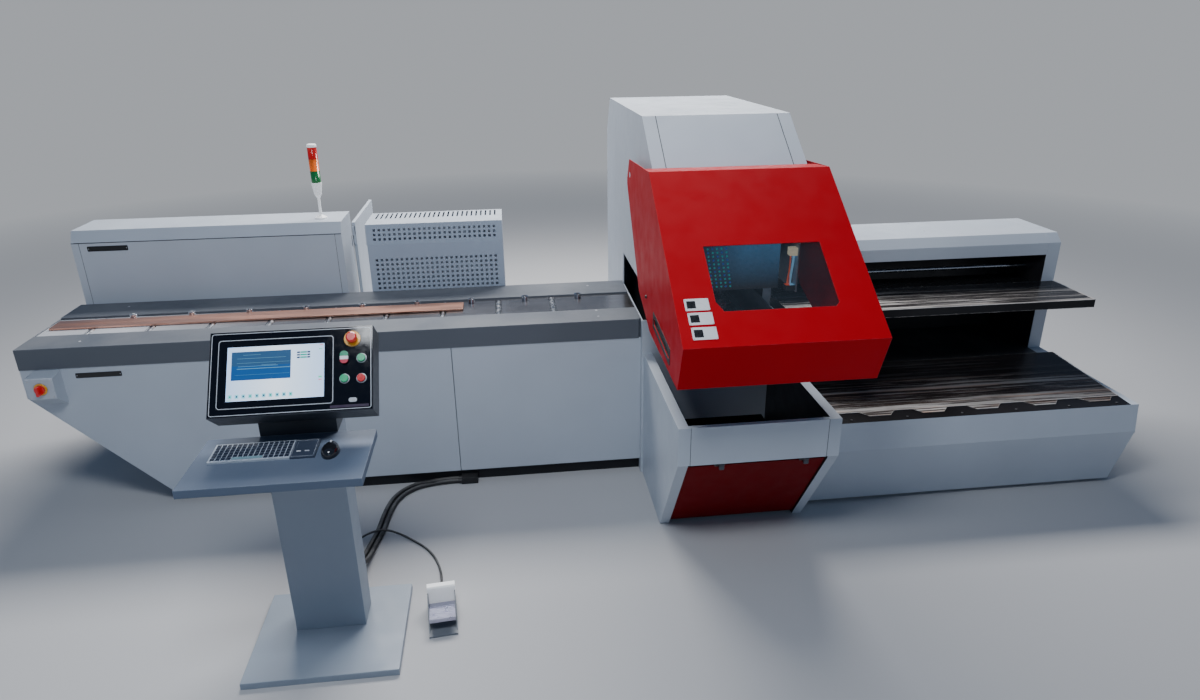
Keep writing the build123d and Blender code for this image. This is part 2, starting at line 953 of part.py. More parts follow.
def drive_panel():
    """Mounting plate on spacers with servo drives, contactors and wiring ducts."""
    x0 = cabinet_left + mounting_plate_margin
    x1 = cabinet_right - mounting_plate_margin
    y0 = cabinet_front + sheet + mounting_plate_offset
    y1 = y0 + sheet
    plate = block((x0, x1), (y0, y1), (mounting_plate_low, mounting_plate_high))
    for x in (x0 + mounting_plate_margin, x1 - mounting_plate_margin):
        for z in (mounting_plate_low + duct_size, mounting_plate_high - duct_size):
            plate += rod_y(x, (cabinet_front + sheet, y0), z, mounting_stud_radius)
    pieces = [plate]
    row = mounting_plate_high - 2 * duct_size
    for z in (row, row - drive_height - 2 * duct_size, mounting_plate_low + duct_size):
        duct = block((x0 + duct_size, x1 - duct_size), (y1, y1 + duct_size), (z, z + duct_size))
        pieces.append(duct)
    for index in range(drive_count):
        left = x0 + duct_size + drive_pitch * index
        high = row - drive_gap
        drive = block((left, left + drive_width), (y1, y1 + drive_depth), (high - drive_height, high))
        pieces.append(drive)
    for index in range(contactor_count):
        left = x1 - duct_size - contactor_size - 1.5 * contactor_size * index
        low = row - drive_height / 2
        contactor = block(
            (left, left + contactor_size), (y1, y1 + contactor_size), (low, low + contactor_size)
        )
        pieces.append(contactor)
    save("drive_panel", *pieces)


# Stack light


def stack_light():
    """Signal tower: turned foot, pole, cup-shaped base, core and cap, with three lens rings."""
    x = cabinet_left + stack_place
    y = cabinet_front + stack_setback
    foot_top = lid_top + stack_foot_height
    pole_top = lid_top + stack_pole_height
    base_top = pole_top + stack_base_height
    lens_top = base_top + stack_lens_count * stack_lens_height
    outline = [
        (0, lid_top),
        (stack_foot_radius, lid_top),
        (stack_foot_radius, foot_top),
        (stack_pole_radius, foot_top + stack_foot_taper),
        (stack_pole_radius, pole_top - stack_pole_flare),
        (stack_base_low_radius, pole_top),
        (stack_base_radius, base_top - stack_base_rim),
        (stack_base_radius, base_top),
        (stack_core_radius, base_top),
        (stack_core_radius, lens_top),
        (0, lens_top),
    ]
    cap = rod_z(x, y, (lens_top, lens_top + stack_cap_height), stack_cap_radius)
    cap = fillet(cap.edges().sort_by(Axis.Z)[-1], stack_cap_round)
    save("stack_light_pole", turned(x, y, outline) + cap)
    lenses = []
    for index in range(stack_lens_count):
        heights = (base_top + index * stack_lens_height, base_top + (index + 1) * stack_lens_height)
        lens = rod_z(x, y, heights, stack_lens_radius) - rod_z(x, y, heights, stack_core_radius)
        lenses.append(lens)
    save("stack_light_lenses", *lenses)


# Hydraulic unit


def pump_profile(inset):
    """Side outline of the housing, drawn inset from the outer skin."""
    return [
        (pump_front + inset, 0 + inset),
        (pump_front + inset, pump_crease),
        (pump_front + pump_front_setback + inset, pump_height - inset),
        (pump_rear - inset, pump_height - inset),
        (pump_rear - inset, 0 + inset),
    ]


def pump_housing():
    """Sides, floor, rear and slotted top; the front is the perforated panel."""
    housing = along_x(pump_profile(0), (pump_left, pump_right))
    cavity = [
        (pump_front, pump_floor),
        (pump_front, pump_crease),
        (pump_front + pump_front_setback, pump_height),
        (pump_front + pump_front_setback + grille_sheet, pump_height),
        (pump_front + pump_front_setback + grille_sheet, pump_height - sheet),
        (pump_rear - sheet, pump_height - sheet),
        (pump_rear - sheet, pump_floor),
    ]
    housing -= along_x(cavity, (pump_left + sheet, pump_right - sheet))
    pitch = pump_width / (top_slot_count + 2)
    for index in range(top_slot_count):
        left = pump_left + pitch * (index + 1.5) - top_slot_width / 2
        slot_rear = pump_rear - 5 * sheet
        housing -= block(
            (left, left + top_slot_width),
            (slot_rear - top_slot_length, slot_rear),
            (pump_height - sheet, pump_height),
        )
    corner = [
        (pump_left, pump_front),
        (pump_left + sheet, pump_front),
        (pump_left + sheet, pump_front + grille_corner_cut),
        (pump_left, pump_front + grille_corner_cut),
    ]
    housing -= along_z(corner, (table_top + rear_rail_rise, pump_crease))
    save("pump_housing", housing)


def pump_grille():
    """Folded front panel with square holes and a bevelled left corner below the fold."""
    line = [
        (pump_front, pump_floor),
        (pump_front, pump_crease),
        (pump_front + pump_front_setback, pump_height),
    ]
    panel = folded_sheet(line, grille_sheet, (pump_left + sheet, pump_right - sheet), Side.RIGHT)
    panel &= block(
        (pump_left, pump_right),
        (pump_front, pump_front + pump_front_setback + 2 * grille_sheet),
        (pump_floor, pump_height),
    )
    first = (pump_left + pump_right) / 2 - grille_pitch * (grille_columns - 1) / 2
    deep = (pump_front - grille_sheet, pump_front + pump_front_setback + 3 * grille_sheet)
    rows = [grille_upper_top - grille_upper_pitch * index for index in range(grille_upper_rows)]
    rows += [grille_lower_top - grille_lower_pitch * index for index in range(grille_lower_rows)]
    holes = []
    for z in rows:
        for column in range(grille_columns):
            x = first + grille_pitch * column
            half = grille_hole / 2
            holes.append(block((x - half, x + half), deep, (z - half, z + half)))
    panel -= holes
    save("pump_grille", panel)


def pump_unit():
    """Oil tank with the motor and pump standing on it."""
    middle = (pump_left + pump_right) / 2
    centre_y = (pump_front + pump_rear) / 2
    tank = block(
        (middle - tank_width / 2, middle + tank_width / 2),
        (centre_y - tank_depth / 2, centre_y + tank_depth / 2),
        (pump_floor, pump_floor + tank_height),
    )
    tank = fillet(tank.edges().filter_by(Axis.Z), tank_corner)
    tank_top = pump_floor + tank_height
    motor_x = middle - tank_width / 4
    pump_top = tank_top + pump_body_height
    pump = rod_z(motor_x, centre_y, (tank_top, pump_top), pump_body_radius)
    motor = rod_z(motor_x, centre_y, (pump_top, pump_top + motor_height), motor_radius)
    valve_x = middle + tank_width / 4
    valves = block(
        (valve_x - motor_radius, valve_x + motor_radius),
        (centre_y - pump_body_radius, centre_y + pump_body_radius),
        (tank_top, tank_top + motor_radius),
    )
    save("pump_unit", tank, pump, motor, valves)


# Press


def press_side_outline():
    """Side outline of the casing with the throat that the bar runs through."""
    return [
        (press_low_front, 0),
        (press_low_front, table_top),
        (throat_rear, table_top),
        (throat_rear, throat_top),
        (press_front, throat_top),
        (press_front, press_brow),
        (press_top_front, press_height),
        (press_top_rear, press_height),
        (press_rear, press_shoulder),
        (press_rear, 0),
    ]


def press_casing():
    """Two side plates joined by the sloping roof and the rear wall, open under the hood."""
    outline = press_side_outline()
    sides = [
        along_x(outline, (press_left, press_left + press_sheet)),
        along_x(outline, (press_right - press_sheet, press_right)),
    ]
    roof_line = [
        (press_front, press_brow),
        (press_top_front, press_height),
        (press_top_rear, press_height),
        (press_rear, press_shoulder),
        (press_rear, 0),
    ]
    between = (press_left + press_sheet, press_right - press_sheet)
    casing = folded_sheet(roof_line, press_sheet, between, Side.RIGHT) + sides
    apron = block(between, (press_low_front, press_low_front + press_sheet), (0, table_top))
    casing += apron
    for x in ((press_left, press_left + groove), (press_right - groove, press_right)):
        heights = (table_top, press_height - press_seam_end)
        casing -= block(x, (press_seam, press_seam + groove), heights)
    slope = [
        (press_front, press_brow),
        (press_top_front, press_height),
        (press_top_front, press_height - roof_seam_depth),
        (press_front, press_brow - roof_seam_depth),
    ]
    for x in (press_left + roof_seam_inset, press_right - roof_seam_inset):
        casing -= along_x(slope, (x - roof_seam_width / 2, x + roof_seam_width / 2))
    for edge, side in ((press_left, -1), (press_right, 1)):
        collar = sorted((edge, edge + side * (hood_gap - hood_sheet - seat_gap)))
        casing += rod_x(collar, hood_hinge_y, hood_hinge_z, hood_collar_radius)
        pin = sorted((edge, edge + side * hood_gap))
        casing += rod_x(pin, hood_hinge_y, hood_hinge_z, hood_pin_radius)
    save("press_casing", casing)


def press_frame():
    """Welded C-frame: two throat plates, bed block, head block, rear web and base."""
    outline = [
        (frame_low_front, frame_base),
        (frame_low_front, frame_bed),
        (frame_throat_rear, frame_bed),
        (frame_throat_rear, frame_arm_low),
        (frame_arm_front, frame_arm_low),
        (frame_arm_front, frame_high - frame_arm_corner),
        (frame_arm_front + frame_arm_corner, frame_high),
        (frame_rear, frame_high),
        (frame_rear, frame_base),
    ]
    between = (frame_inner_left, frame_inner_right)
    frame = along_x(outline, (frame_left, frame_inner_left))
    frame += along_x(outline, (frame_inner_right, frame_right))
    frame += block(between, (block_front, block_rear), (frame_bed - bed_block_height, frame_bed))
    frame += block(
        between, (frame_arm_front, block_rear), (frame_arm_low, frame_arm_low + head_block_height)
    )
    frame += block(between, (frame_rear - back_web, frame_rear), (frame_base, frame_high))
    floor = (press_left + press_sheet, press_right - press_sheet)
    frame += block(floor, (frame_low_front, frame_rear), (0, frame_base))
    save("press_frame", frame)


def tool_places():
    return [frame_inner_left + place for place in (*punch_places, shear_place)]


def ram_cylinders():
    """Three hydraulic cylinders under the head block."""
    cylinders = []
    for x in tool_places():
        barrel = rod_z(x, tool_line, (cylinder_low, frame_arm_low), cylinder_radius)
        bore = (cylinder_low, frame_arm_low - rod_play_above)
        cylinders.append(barrel - rod_z(x, tool_line, bore, rod_radius + running_fit))
    save("ram_cylinders", *cylinders)


def punch_ram(name, x):
    """Rod, holder and punch in one moving piece."""
    tip = tool_rest_height
    holder_low = tip + punch_length
    holder_high = holder_low + holder_height
    ram = rod_z(x, tool_line, (tip, holder_low), punch_radius)
    ram += rod_z(x, tool_line, (holder_low, holder_high), holder_radius)
    ram += rod_z(x, tool_line, (holder_high, frame_arm_low - 2 * rod_play_above), rod_radius)
    save(name, ram)


def shear_ram():
    """Rod and holder that carry the upper blade."""
    x = tool_places()[-1]
    edge = tool_rest_height
    holder_low = edge + blade_height - 2 * blade_thickness
    holder_high = holder_low + holder_height
    half = blade_width / 2
    blade = block(
        (x - blade_thickness / 2, x + blade_thickness / 2),
        (tool_line - half, tool_line + half),
        (edge, holder_low),
    )
    holder = block(
        (x - blade_holder_width / 2, x + blade_holder_width / 2),
        (tool_line - half, tool_line + half),
        (holder_low, holder_high),
    )
    rod = rod_z(x, tool_line, (holder_high, frame_arm_low - 2 * rod_play_above), rod_radius)
    save("shear_ram", blade + holder + rod)


def die_set():
    """Die plate on the bed with two round dies and the lower blade block."""
    bed = (frame_inner_left + 2 * sheet, frame_inner_right - 2 * sheet)
    die_low = frame_bed + die_plate_thickness
    across = (block_front + die_plate_margin, block_rear - die_plate_margin)
    dies = block(bed, across, (frame_bed, die_low))
    places = tool_places()
    for x in places[:-1]:
        dies += rod_z(x, tool_line, (die_low, die_top), die_radius)
        dies -= rod_z(x, tool_line, (die_low, die_top), punch_radius + die_clearance)
    x = places[-1]
    half = blade_width / 2
    dies += block(
        (x - blade_holder_width / 2, x + blade_holder_width / 2),
        (tool_line - half - 3 * sheet, tool_line + half + 3 * sheet),
        (die_low, die_top),
    )
    dies -= block(
        (x - blade_thickness / 2 - seat_gap, x + blade_thickness / 2 + seat_gap),
        (tool_line - half - sheet, tool_line + half + sheet),
        (die_low, die_top),
    )
    save("die_set", dies)


def tool_guard():
    """Dark guard plate on the front of the press arms."""
    front = frame_arm_front - guard_thickness
    x = (frame_left, frame_right + guard_right_over)
    plate = block(x, (front, frame_arm_front), (guard_low, guard_high))
    save("tool_guard", plate)


def bend_radii(points):
    """Radius of the tangent arc at each corner, as large as its two runs allow."""
    radii = []
    corners = [Vector(*point) for point in points]
    for before, here, after in zip(corners, corners[1:], corners[2:]):
        shorter = min((here - before).length, (after - here).length)
        turn = math.radians((here - before).get_angle(after - here))
        radii.append(0.45 * shorter / math.tan(turn / 2))
    return radii


def round_tube(points, radius):
    """A round tube along straight runs joined by tangent arcs, with its path."""
    path = FilletPolyline(*points, radius=bend_radii(points))
    start = Plane(path @ 0, z_dir=path % 0)
    return sweep(start * Circle(radius), path), path


def hose_points(top_inset, low_inset, bulge, y):
    """From the terminal box straight down, out a little and down to the anchor."""
    wall = press_right - press_sheet
    anchor_top = hose_anchor_low + hose_anchor_height
    middle_inset = (top_inset + low_inset) / 2
    return [
        (wall - top_inset, y, terminal_low),
        (wall - top_inset, y, terminal_low - hose_straight),
        (wall - middle_inset, y + bulge, terminal_low - hose_middle),
        (wall - low_inset, y, anchor_top + hose_rise),
        (wall - low_inset, y, anchor_top),
    ]


def air_hoses():
    """Terminal box and anchor on the casing's right side with two short hoses between them."""
    wall = press_right - press_sheet
    rear = frame_arm_front - terminal_gap
    y = (rear - terminal_size, rear)
    terminal = block((wall - terminal_size, wall), y, (terminal_low, terminal_low + terminal_size))
    anchor_x = (wall - terminal_size - hose_anchor_over, wall)
    anchor = block(anchor_x, y, (hose_anchor_low, hose_anchor_low + hose_anchor_height))
    middle = rear - terminal_size / 2
    red_points = hose_points(red_hose_inset, red_hose_low_inset, red_hose_bulge, middle)
    blue_points = hose_points(blue_hose_inset, blue_hose_low_inset, blue_hose_bulge, middle)
    red, _ = round_tube(red_points, red_hose_radius)
    blue, _ = round_tube(blue_points, blue_hose_radius)
    save("air_hoses", terminal, anchor, red, blue)


# Hood


def hood_shell():
    """Folded face, brow and lip between two side plates; the face has the window opening."""
    skin_line = [
        (press_front - hood_brow_gap, press_brow),
        (hood_brow_front, hood_brow_height),
        (hood_lip_front, hood_lip_height),
        (hood_toe_front, hood_toe_height),
    ]
    shell = folded_sheet(skin_line, hood_sheet, (hood_left, hood_right), Side.LEFT)
    side = [
        (hood_brow_front, hood_brow_height),
        hood_rear_top,
        hood_rear_back,
        hood_rear_low,
        hood_side_knee,
        hood_side_low,
        (hood_toe_front, hood_toe_height),
        (hood_lip_front, hood_lip_height),
    ]
    for x in ((hood_left, hood_left + hood_sheet), (hood_right - hood_sheet, hood_right)):
        plate = along_x(side, x)
        plate -= rod_x(x, hood_hinge_y, hood_hinge_z, hood_pin_radius + running_fit)
        shell += plate
    shell -= extrude(hood_face() * face_of(window_outline(0)), amount=-3 * hood_sheet, both=True)
    run = Vector(0, handle_rear[0] - handle_front[0], handle_rear[1] - handle_front[1])
    centre = Vector(
        hood_left, (handle_front[0] + handle_rear[0]) / 2, (handle_front[1] + handle_rear[1]) / 2
    )
    slot_plane = Plane(centre, x_dir=run, z_dir=(1, 0, 0))
    slot = slot_plane * SlotOverall(run.length, handle_height)
    shell -= extrude(slot, amount=hood_sheet)
    save("hood_shell", shell)


def hood_face():
    """Plane on the face with its origin at the upper left corner and Y up the slope."""
    up = Vector(0, hood_brow_front - hood_lip_front, hood_brow_height - hood_lip_height).normalized()
    corner = (hood_left, hood_brow_front, hood_brow_height)
    return Plane(corner, x_dir=(1, 0, 0), z_dir=Vector(1, 0, 0).cross(up))


def window_outline(lap):
    left = window_left - lap
    right = window_right + lap
    low = -window_bottom - lap
    return [
        (left, -window_top + lap),
        (right, -window_top + lap),
        (right, low + window_right_cut[1]),
        (right - window_right_cut[0], low),
        (left + window_left_cut[0], low),
        (left, low + window_left_cut[1]),
    ]


def hood_window():
    """Clear pane fastened to the inside of the face."""
    inside = hood_face().offset(-hood_sheet)
    pane = extrude(inside * face_of(window_outline(window_lap)), amount=-window_thickness)
    save("hood_window", pane)


# Scrap collector


def collector_point(height, inset=0.0):
    """Front of the sloping lower half at a height, moved back by an inset."""
    share = height / collector_panel_low
    return collector_foot_front + share * (collector_front - collector_foot_front) + inset


def collector_box():
    """Side walls with slanted front feet, upper front panel and the hinge halves of the door."""
    outline = [
        (collector_front, collector_top),
        (collector_front, collector_panel_low),
        (collector_foot_front, 0),
        (press_low_front, 0),
        (press_low_front, collector_top),
    ]
    box = along_x(outline, (collector_left, collector_left + collector_wall))
    box += along_x(outline, (collector_right - collector_wall, collector_right))
    between = (collector_left + collector_wall, collector_right - collector_wall)
    front = (collector_front, collector_front + collector_front_wall)
    box += block(between, front, (collector_panel_low, collector_top))
    for seam in (collector_left + collector_seam, collector_right - collector_seam - groove):
        line = (collector_front, collector_front + groove)
        box -= block((seam, seam + groove), line, (collector_panel_low, collector_top))
    chute = [
        (collector_front + collector_front_wall, collector_panel_low + chute_front_rise),
        (collector_front + collector_front_wall, collector_panel_low + chute_front_rise + sheet),
        (collector_foot_front, collector_panel_low - chute_rear_drop + sheet),
        (collector_foot_front, collector_panel_low - chute_rear_drop),
    ]
    box += along_x(chute, between)
    y, z = scrap_hinge_axis()
    leaf = (y - scrap_hinge_leaf / 2, y + scrap_hinge_leaf / 2)
    for x in scrap_hinge_spans(0):
        box += rod_x(x, y, z, scrap_hinge_radius) + block(x, leaf, (z, collector_panel_low))
    for low, high in zip(scrap_hinge_spans(0), scrap_hinge_spans(1)):
        box += rod_x((low[0], high[1]), y, z, scrap_hinge_pin_radius)
    save("collector_box", box)


def scrap_hinge_axis():
    drop = scrap_hinge_radius + scrap_hinge_gap
    return collector_front + 2 * scrap_hinge_radius, collector_panel_low - drop


def scrap_hinge_spans(half):
    """Left (0) or right (1) halves of the two door hinges along X."""
    spans = []
    for place in scrap_hinge_places:
        middle = collector_left + place + scrap_hinge_length / 2
        if half:
            spans.append((middle + seat_gap, middle + scrap_hinge_length / 2))
        else:
            spans.append((middle - scrap_hinge_length / 2, middle))
    return spans


def scrap_door():
    """Sloping door between the feet, hung on two hinges under the front panel."""
    y, z = scrap_hinge_axis()
    top = z - scrap_hinge_radius - scrap_hinge_gap
    inset = scrap_door_recess
    outline = [
        (collector_point(top, inset), top),
        (collector_point(scrap_door_floor, inset), scrap_door_floor),
        (collector_point(scrap_door_floor, inset) + scrap_door_thickness, scrap_door_floor),
        (collector_point(top, inset) + scrap_door_thickness, top),
    ]
    left = collector_left + collector_wall + scrap_door_play
    right = collector_right - collector_wall - scrap_door_play
    door = along_x(outline, (left, right))
    for x in scrap_hinge_spans(1):
        door += rod_x(x, y, z, scrap_hinge_radius)
        near = y - scrap_hinge_leaf / 2
        arm_low = top - scrap_hinge_arm
        door += block(x, (near, near + scrap_hinge_leaf), (arm_low, z))
        door += block(x, (near, collector_point(top, inset) + scrap_door_thickness / 2), (arm_low, top))
        door -= rod_x(x, y, z, scrap_hinge_pin_radius + running_fit)
    save("scrap_door", door)


def scrap_bin():
    """Open bin that stands on the floor inside the collector."""
    front = collector_point(bin_height, scrap_door_recess + scrap_door_thickness + bin_play)
    foot = collector_foot_front + scrap_door_recess + scrap_door_thickness + bin_play
    rear = press_low_front - seat_gap
    left = collector_left + collector_wall + bin_play
    right = collector_right - collector_wall - bin_play
    outer = [(front, bin_height), (foot, 0), (rear, 0), (rear, bin_height)]
    inner = [
        (front + bin_wall, bin_height),
        (foot + bin_wall, bin_wall),
        (rear - bin_wall, bin_wall),
        (rear - bin_wall, bin_height),
    ]
    scrap = along_x(outer, (left, right)) - along_x(inner, (left + bin_wall, right - bin_wall))
    save("scrap_bin", scrap)


# Outfeed table


def outfeed_base():
    outline = [
        (outfeed_toe, outfeed_toe_height),
        (outfeed_belly, outfeed_belly_height),
        (outfeed_front, outfeed_deck),
        (outfeed_rear, outfeed_deck),
        (outfeed_rear, outfeed_toe_height),
    ]
    base = along_x(outline, (outfeed_left, outfeed_right))
    inset = outfeed_foot_inset
    base += block(
        (outfeed_left + inset, outfeed_right - inset),
        (outfeed_toe + inset, outfeed_rear - inset),
        (0, outfeed_toe_height),
    )
    beside = (outfeed_belly, press_low_front)
    base -= block((outfeed_left, collector_right), beside, (0, collector_top))
    save("outfeed_base", base)


def tray_plane():
    """Plane on the sloping tray with its origin at the front left corner."""
    up = Vector(0, tray_rear - outfeed_front, tray_rise).normalized()
    left = collector_right
    corner = (left, outfeed_front, outfeed_deck)
    return Plane(corner, x_dir=(1, 0, 0), z_dir=Vector(1, 0, 0).cross(up))


def outfeed_tray():
    """Sloping support with a worn plate on it; five tongues of the plate lap the front strip."""
    right = outfeed_right - tray_right_margin
    left = collector_right
    wedge = [
        (outfeed_front, outfeed_deck),
        (tray_rear, outfeed_deck + tray_rise),
        (tray_rear, outfeed_deck),
    ]
    tray = along_x(wedge, (left, right))
    plane = tray_plane()
    slope = math.hypot(tray_rear - outfeed_front, tray_rise)
    outline = [(0, slope), (0, tray_strip)]
    for centre in tongue_places:
        place = centre - left
        outline += [
            (place - tongue_root_width / 2, tray_strip),
            (place - tongue_tip_width / 2, tray_strip - tongue_length),
            (place + tongue_tip_width / 2, tray_strip - tongue_length),
            (place + tongue_root_width / 2, tray_strip),
        ]
    outline += [(right - left, tray_strip), (right - left, slope)]
    tray += extrude(plane * face_of(outline), amount=tray_sheet)
    save("outfeed_tray", tray)


def outfeed_end_panels():
    low = outfeed_deck
    front = end_panel_front
    outline = [
        (front, low),
        (front, cover_edge),
        (front + cover_setback, cover_top),
        (outfeed_rear, cover_top),
        (outfeed_rear, low),
    ]
    right = along_x(outline, (outfeed_right - end_panel_thickness, outfeed_right))
    left = along_x(outline, (outfeed_left, outfeed_left + end_panel_left_thickness))
    inner = (outfeed_left + end_panel_left_thickness, outfeed_right - end_panel_thickness)
    left -= block(
        (outfeed_left, inner[0]),
        (end_panel_front + bar_window_margin, throat_rear),
        (table_top, bar_window_top),
    )
    ledge_y = (end_panel_front + shelf_setback, shelf_rear)
    ledge_z = (shelf_top - shelf_thickness - ledge_height, shelf_top - shelf_thickness)
    left += block((inner[0], inner[0] + ledge_width), ledge_y, ledge_z)
    right += block((inner[1] - ledge_width, inner[1]), ledge_y, ledge_z)
    save("outfeed_end_panels", left, right)


def outfeed_cover():
    """Folded roof between the end panels, with its front fascia and rear wall."""
    line = [
        (end_panel_front, cover_low),
        (end_panel_front, cover_edge),
        (end_panel_front + cover_setback, cover_top),
        (outfeed_rear, cover_top),
        (outfeed_rear, outfeed_deck),
    ]
    between = (outfeed_left + end_panel_left_thickness, outfeed_right - end_panel_thickness)
    save("outfeed_cover", folded_sheet(line, sheet, between, Side.RIGHT))


def flap_axis():
    return flap_rear - flap_hinge_radius, flap_top - flap_sheet - flap_hinge_radius


def flap_left():
    return outfeed_left + flap_left_margin


def outfeed_shelf():
    """Fixed shelf between the end panels, guide rod above it and hinge arms for the flap."""
    left = outfeed_left + end_panel_left_thickness
    right = outfeed_right - end_panel_thickness
    low = shelf_top - shelf_thickness
    shelf = block((left, right), (end_panel_front + shelf_setback, shelf_rear), (low, shelf_top))
    y, z = flap_axis()
    for place in flap_hinge_places:
        x0 = flap_left() + place
        x = (x0, x0 + flap_hinge_length / 2)
        arm = block(x, (y, end_panel_front + shelf_setback), (low, z))
        shelf += arm + rod_x(x, y, z, flap_hinge_radius)
        shelf += rod_x((x0, x0 + flap_hinge_length), y, z, flap_pin_radius)
    rod = rod_x((left, right), shelf_rod_y, shelf_rod_z, shelf_rod_radius)
    save("outfeed_shelf", shelf, rod)


def outfeed_flap():
    """Tipping plate with a folded front lip and knuckles under its rear edge."""
    y, z = flap_axis()
    left = flap_left()
    line = [(flap_rear, flap_top), (flap_front, flap_top), (flap_front, flap_top - flap_lip)]
    flap = folded_sheet(line, flap_sheet, (left, outfeed_right), Side.LEFT)
    for place in flap_hinge_places:
        x0 = left + place
        x = (x0 + flap_hinge_length / 2 + seat_gap, x0 + flap_hinge_length)
        flap += rod_x(x, y, z, flap_hinge_radius)
        flap += block(x, (y - flap_hinge_radius, y), (z, flap_top - flap_sheet))
        flap -= rod_x(x, y, z, flap_pin_radius + running_fit)
    save("outfeed_flap", flap)


# Operator console


def console_base():
    plate = block(
        (console_base_left, console_base_left + console_base_width),
        (console_base_front, console_base_front + console_base_depth),
        (0, console_base_height),
    )
    plate = chamfer(plate.edges().group_by(Axis.Z)[-1], groove)
    save("console_base", plate)


def console_column():
    """Square tube from the base to the desk, with the cable glands low on its rear."""
    heights = (console_base_height, desk_height)
    outer = block((column_left, column_right), (column_front, column_rear), heights)
    outer = fillet(outer.edges().filter_by(Axis.Z), column_corner)
    inner = block(
        (column_left + column_wall, column_right - column_wall),
        (column_front + column_wall, column_rear - column_wall),
        (console_base_height, desk_height - column_wall),
    )
    column = outer - inner
    glands = (
        (cable_left_route[-1], gland_radius),
        (cable_right_route[-1], gland_radius),
        (foot_cable_route[0], foot_gland_radius),
    )
    for (x, y, z), radius in glands:
        column += rod_y(x, (column_rear, column_rear + column_gland_length), z, radius)
    save("console_column", column)


def console_shelf():
    """Desk tray with a folded rim, carried by two gussets on the column."""
    sides = (desk_left, desk_left + desk_width)
    desk = block(sides, (desk_front, column_front), (desk_height - desk_lip, desk_height))
    under = block(
        (desk_left + desk_sheet, desk_left + desk_width - desk_sheet),
        (desk_front + desk_sheet, column_front - desk_sheet),
        (desk_height - desk_lip, desk_height - desk_sheet),
    )
    desk -= under
    gusset = [
        (column_front, desk_height - desk_sheet),
        (gusset_front, desk_height - desk_sheet),
        (gusset_front, desk_height - desk_lip - gusset_nose),
        (column_front, desk_height - desk_lip - gusset_depth),
    ]
    for place in (column_left, column_right - gusset_thickness):
        desk += along_x(gusset, (place, place + gusset_thickness))
    save("console_shelf", desk)


def monitor_plane():
    """Plane on the front of the monitor, X to the right and Y up its face."""
    tilt = math.radians(monitor_tilt)
    return Plane(monitor_centre, x_dir=(1, 0, 0), z_dir=(0, -math.cos(tilt), math.sin(tilt)))


def monitor_block(u, w, depth):
    """A box in monitor coordinates: across, up the face and out of it."""
    return monitor_plane() * block(u, w, depth)


def monitor_rod(place, depth, radius):
    return monitor_plane() * rod_z(place[0], place[1], depth, radius)


def monitor_housing():
    """Tilted housing with a recess for the screen, bores for the buttons and its neck."""
    half_u = monitor_width / 2
    half_w = monitor_height / 2
    housing = block((-half_u, half_u), (-half_w, half_w), (-monitor_depth, 0))
    housing = chamfer(housing.edges().group_by(Axis.Z)[-1], groove)
    housing -= block((bezel_left, bezel_right), (bezel_low, bezel_high), (-bezel_sink, 0))
    places = (upper_left_button, upper_right_button, lower_left_button, lower_right_button, estop_place)
    for place in places:
        housing -= rod_z(place[0], place[1], (-button_bore, 0), button_stem_radius + running_fit)
    ring = rod_z(*estop_place, (0, estop_ring_height), estop_ring_radius)
    housing += ring - rod_z(*estop_place, (0, estop_ring_height), button_stem_radius + running_fit)
    housing = monitor_plane() * housing
    tilt = math.radians(monitor_tilt)
    back_y = monitor_centre[1] + monitor_depth * math.cos(tilt) - half_w * math.sin(tilt)
    back_z = monitor_centre[2] - monitor_depth * math.sin(tilt) - half_w * math.cos(tilt)

    def behind(y):
        return back_z + (y - back_y) / math.tan(tilt)

    neck = [
        (column_front, desk_height),
        (column_front, behind(column_front)),
        (column_rear, behind(column_rear)),
        (column_rear, desk_height),
    ]
    housing += along_x(neck, (column_left, column_right))
    save("monitor_housing", housing)


def monitor_screen():
    """Screen bezel and glass, seated in the recess and slightly proud of the face."""
    screen = block((bezel_left, bezel_right), (bezel_low, bezel_high), (-bezel_sink, bezel_proud))
    screen = chamfer(screen.edges().group_by(Axis.Z)[-1], groove)
    screen -= block(
        (bezel_left + glass_side_margin, bezel_right - glass_side_margin),
        (bezel_low + glass_end_margin, bezel_high - glass_end_margin),
        (bezel_proud - glass_sink, bezel_proud),
    )
    save("monitor_screen", monitor_plane() * screen)


def panel_button(name, place, cap):
    """A cap with its stem; it sits off the face by its travel and a little play."""
    lift = button_travel + seat_gap
    stem = rod_z(*place, (-button_bore + lift, lift), button_stem_radius)
    save(name, monitor_plane() * (stem + Pos(place[0], place[1], lift) * cap))


def panel_buttons():
    for name, place in (
        ("green_button_upper", upper_right_button),
        ("green_button_lower", lower_left_button),
        ("red_button", lower_right_button),
    ):
        cap = rod_z(0, 0, (0, button_height), button_radius)
        panel_button(name, place, chamfer(cap.edges().sort_by(Axis.Z)[-1], button_edge))
    half_u = twin_button_width / 2
    half_w = twin_button_height / 2
    twin = block((-half_u, half_u), (-half_w, half_w), (0, button_height))
    twin = fillet(twin.edges().filter_by(Axis.Z), twin_button_corner)
    panel_button("twin_button", upper_left_button, twin)
    mushroom = rod_z(0, 0, (estop_ring_height, estop_ring_height + estop_height), estop_radius)
    mushroom = chamfer(mushroom.edges().sort_by(Axis.Z)[-1], estop_edge)
    neck = rod_z(0, 0, (0, estop_ring_height), button_stem_radius)
    panel_button("estop_button", estop_place, mushroom + neck)


def keyboard_plane():
    """Plane on the sloping top with its origin at the front left corner."""
    rise = keyboard_height / 2
    up = Vector(0, keyboard_depth, rise).normalized()
    corner = (keyboard_left, keyboard_front, desk_height + rise)
    return Plane(corner, x_dir=(1, 0, 0), z_dir=Vector(1, 0, 0).cross(up))


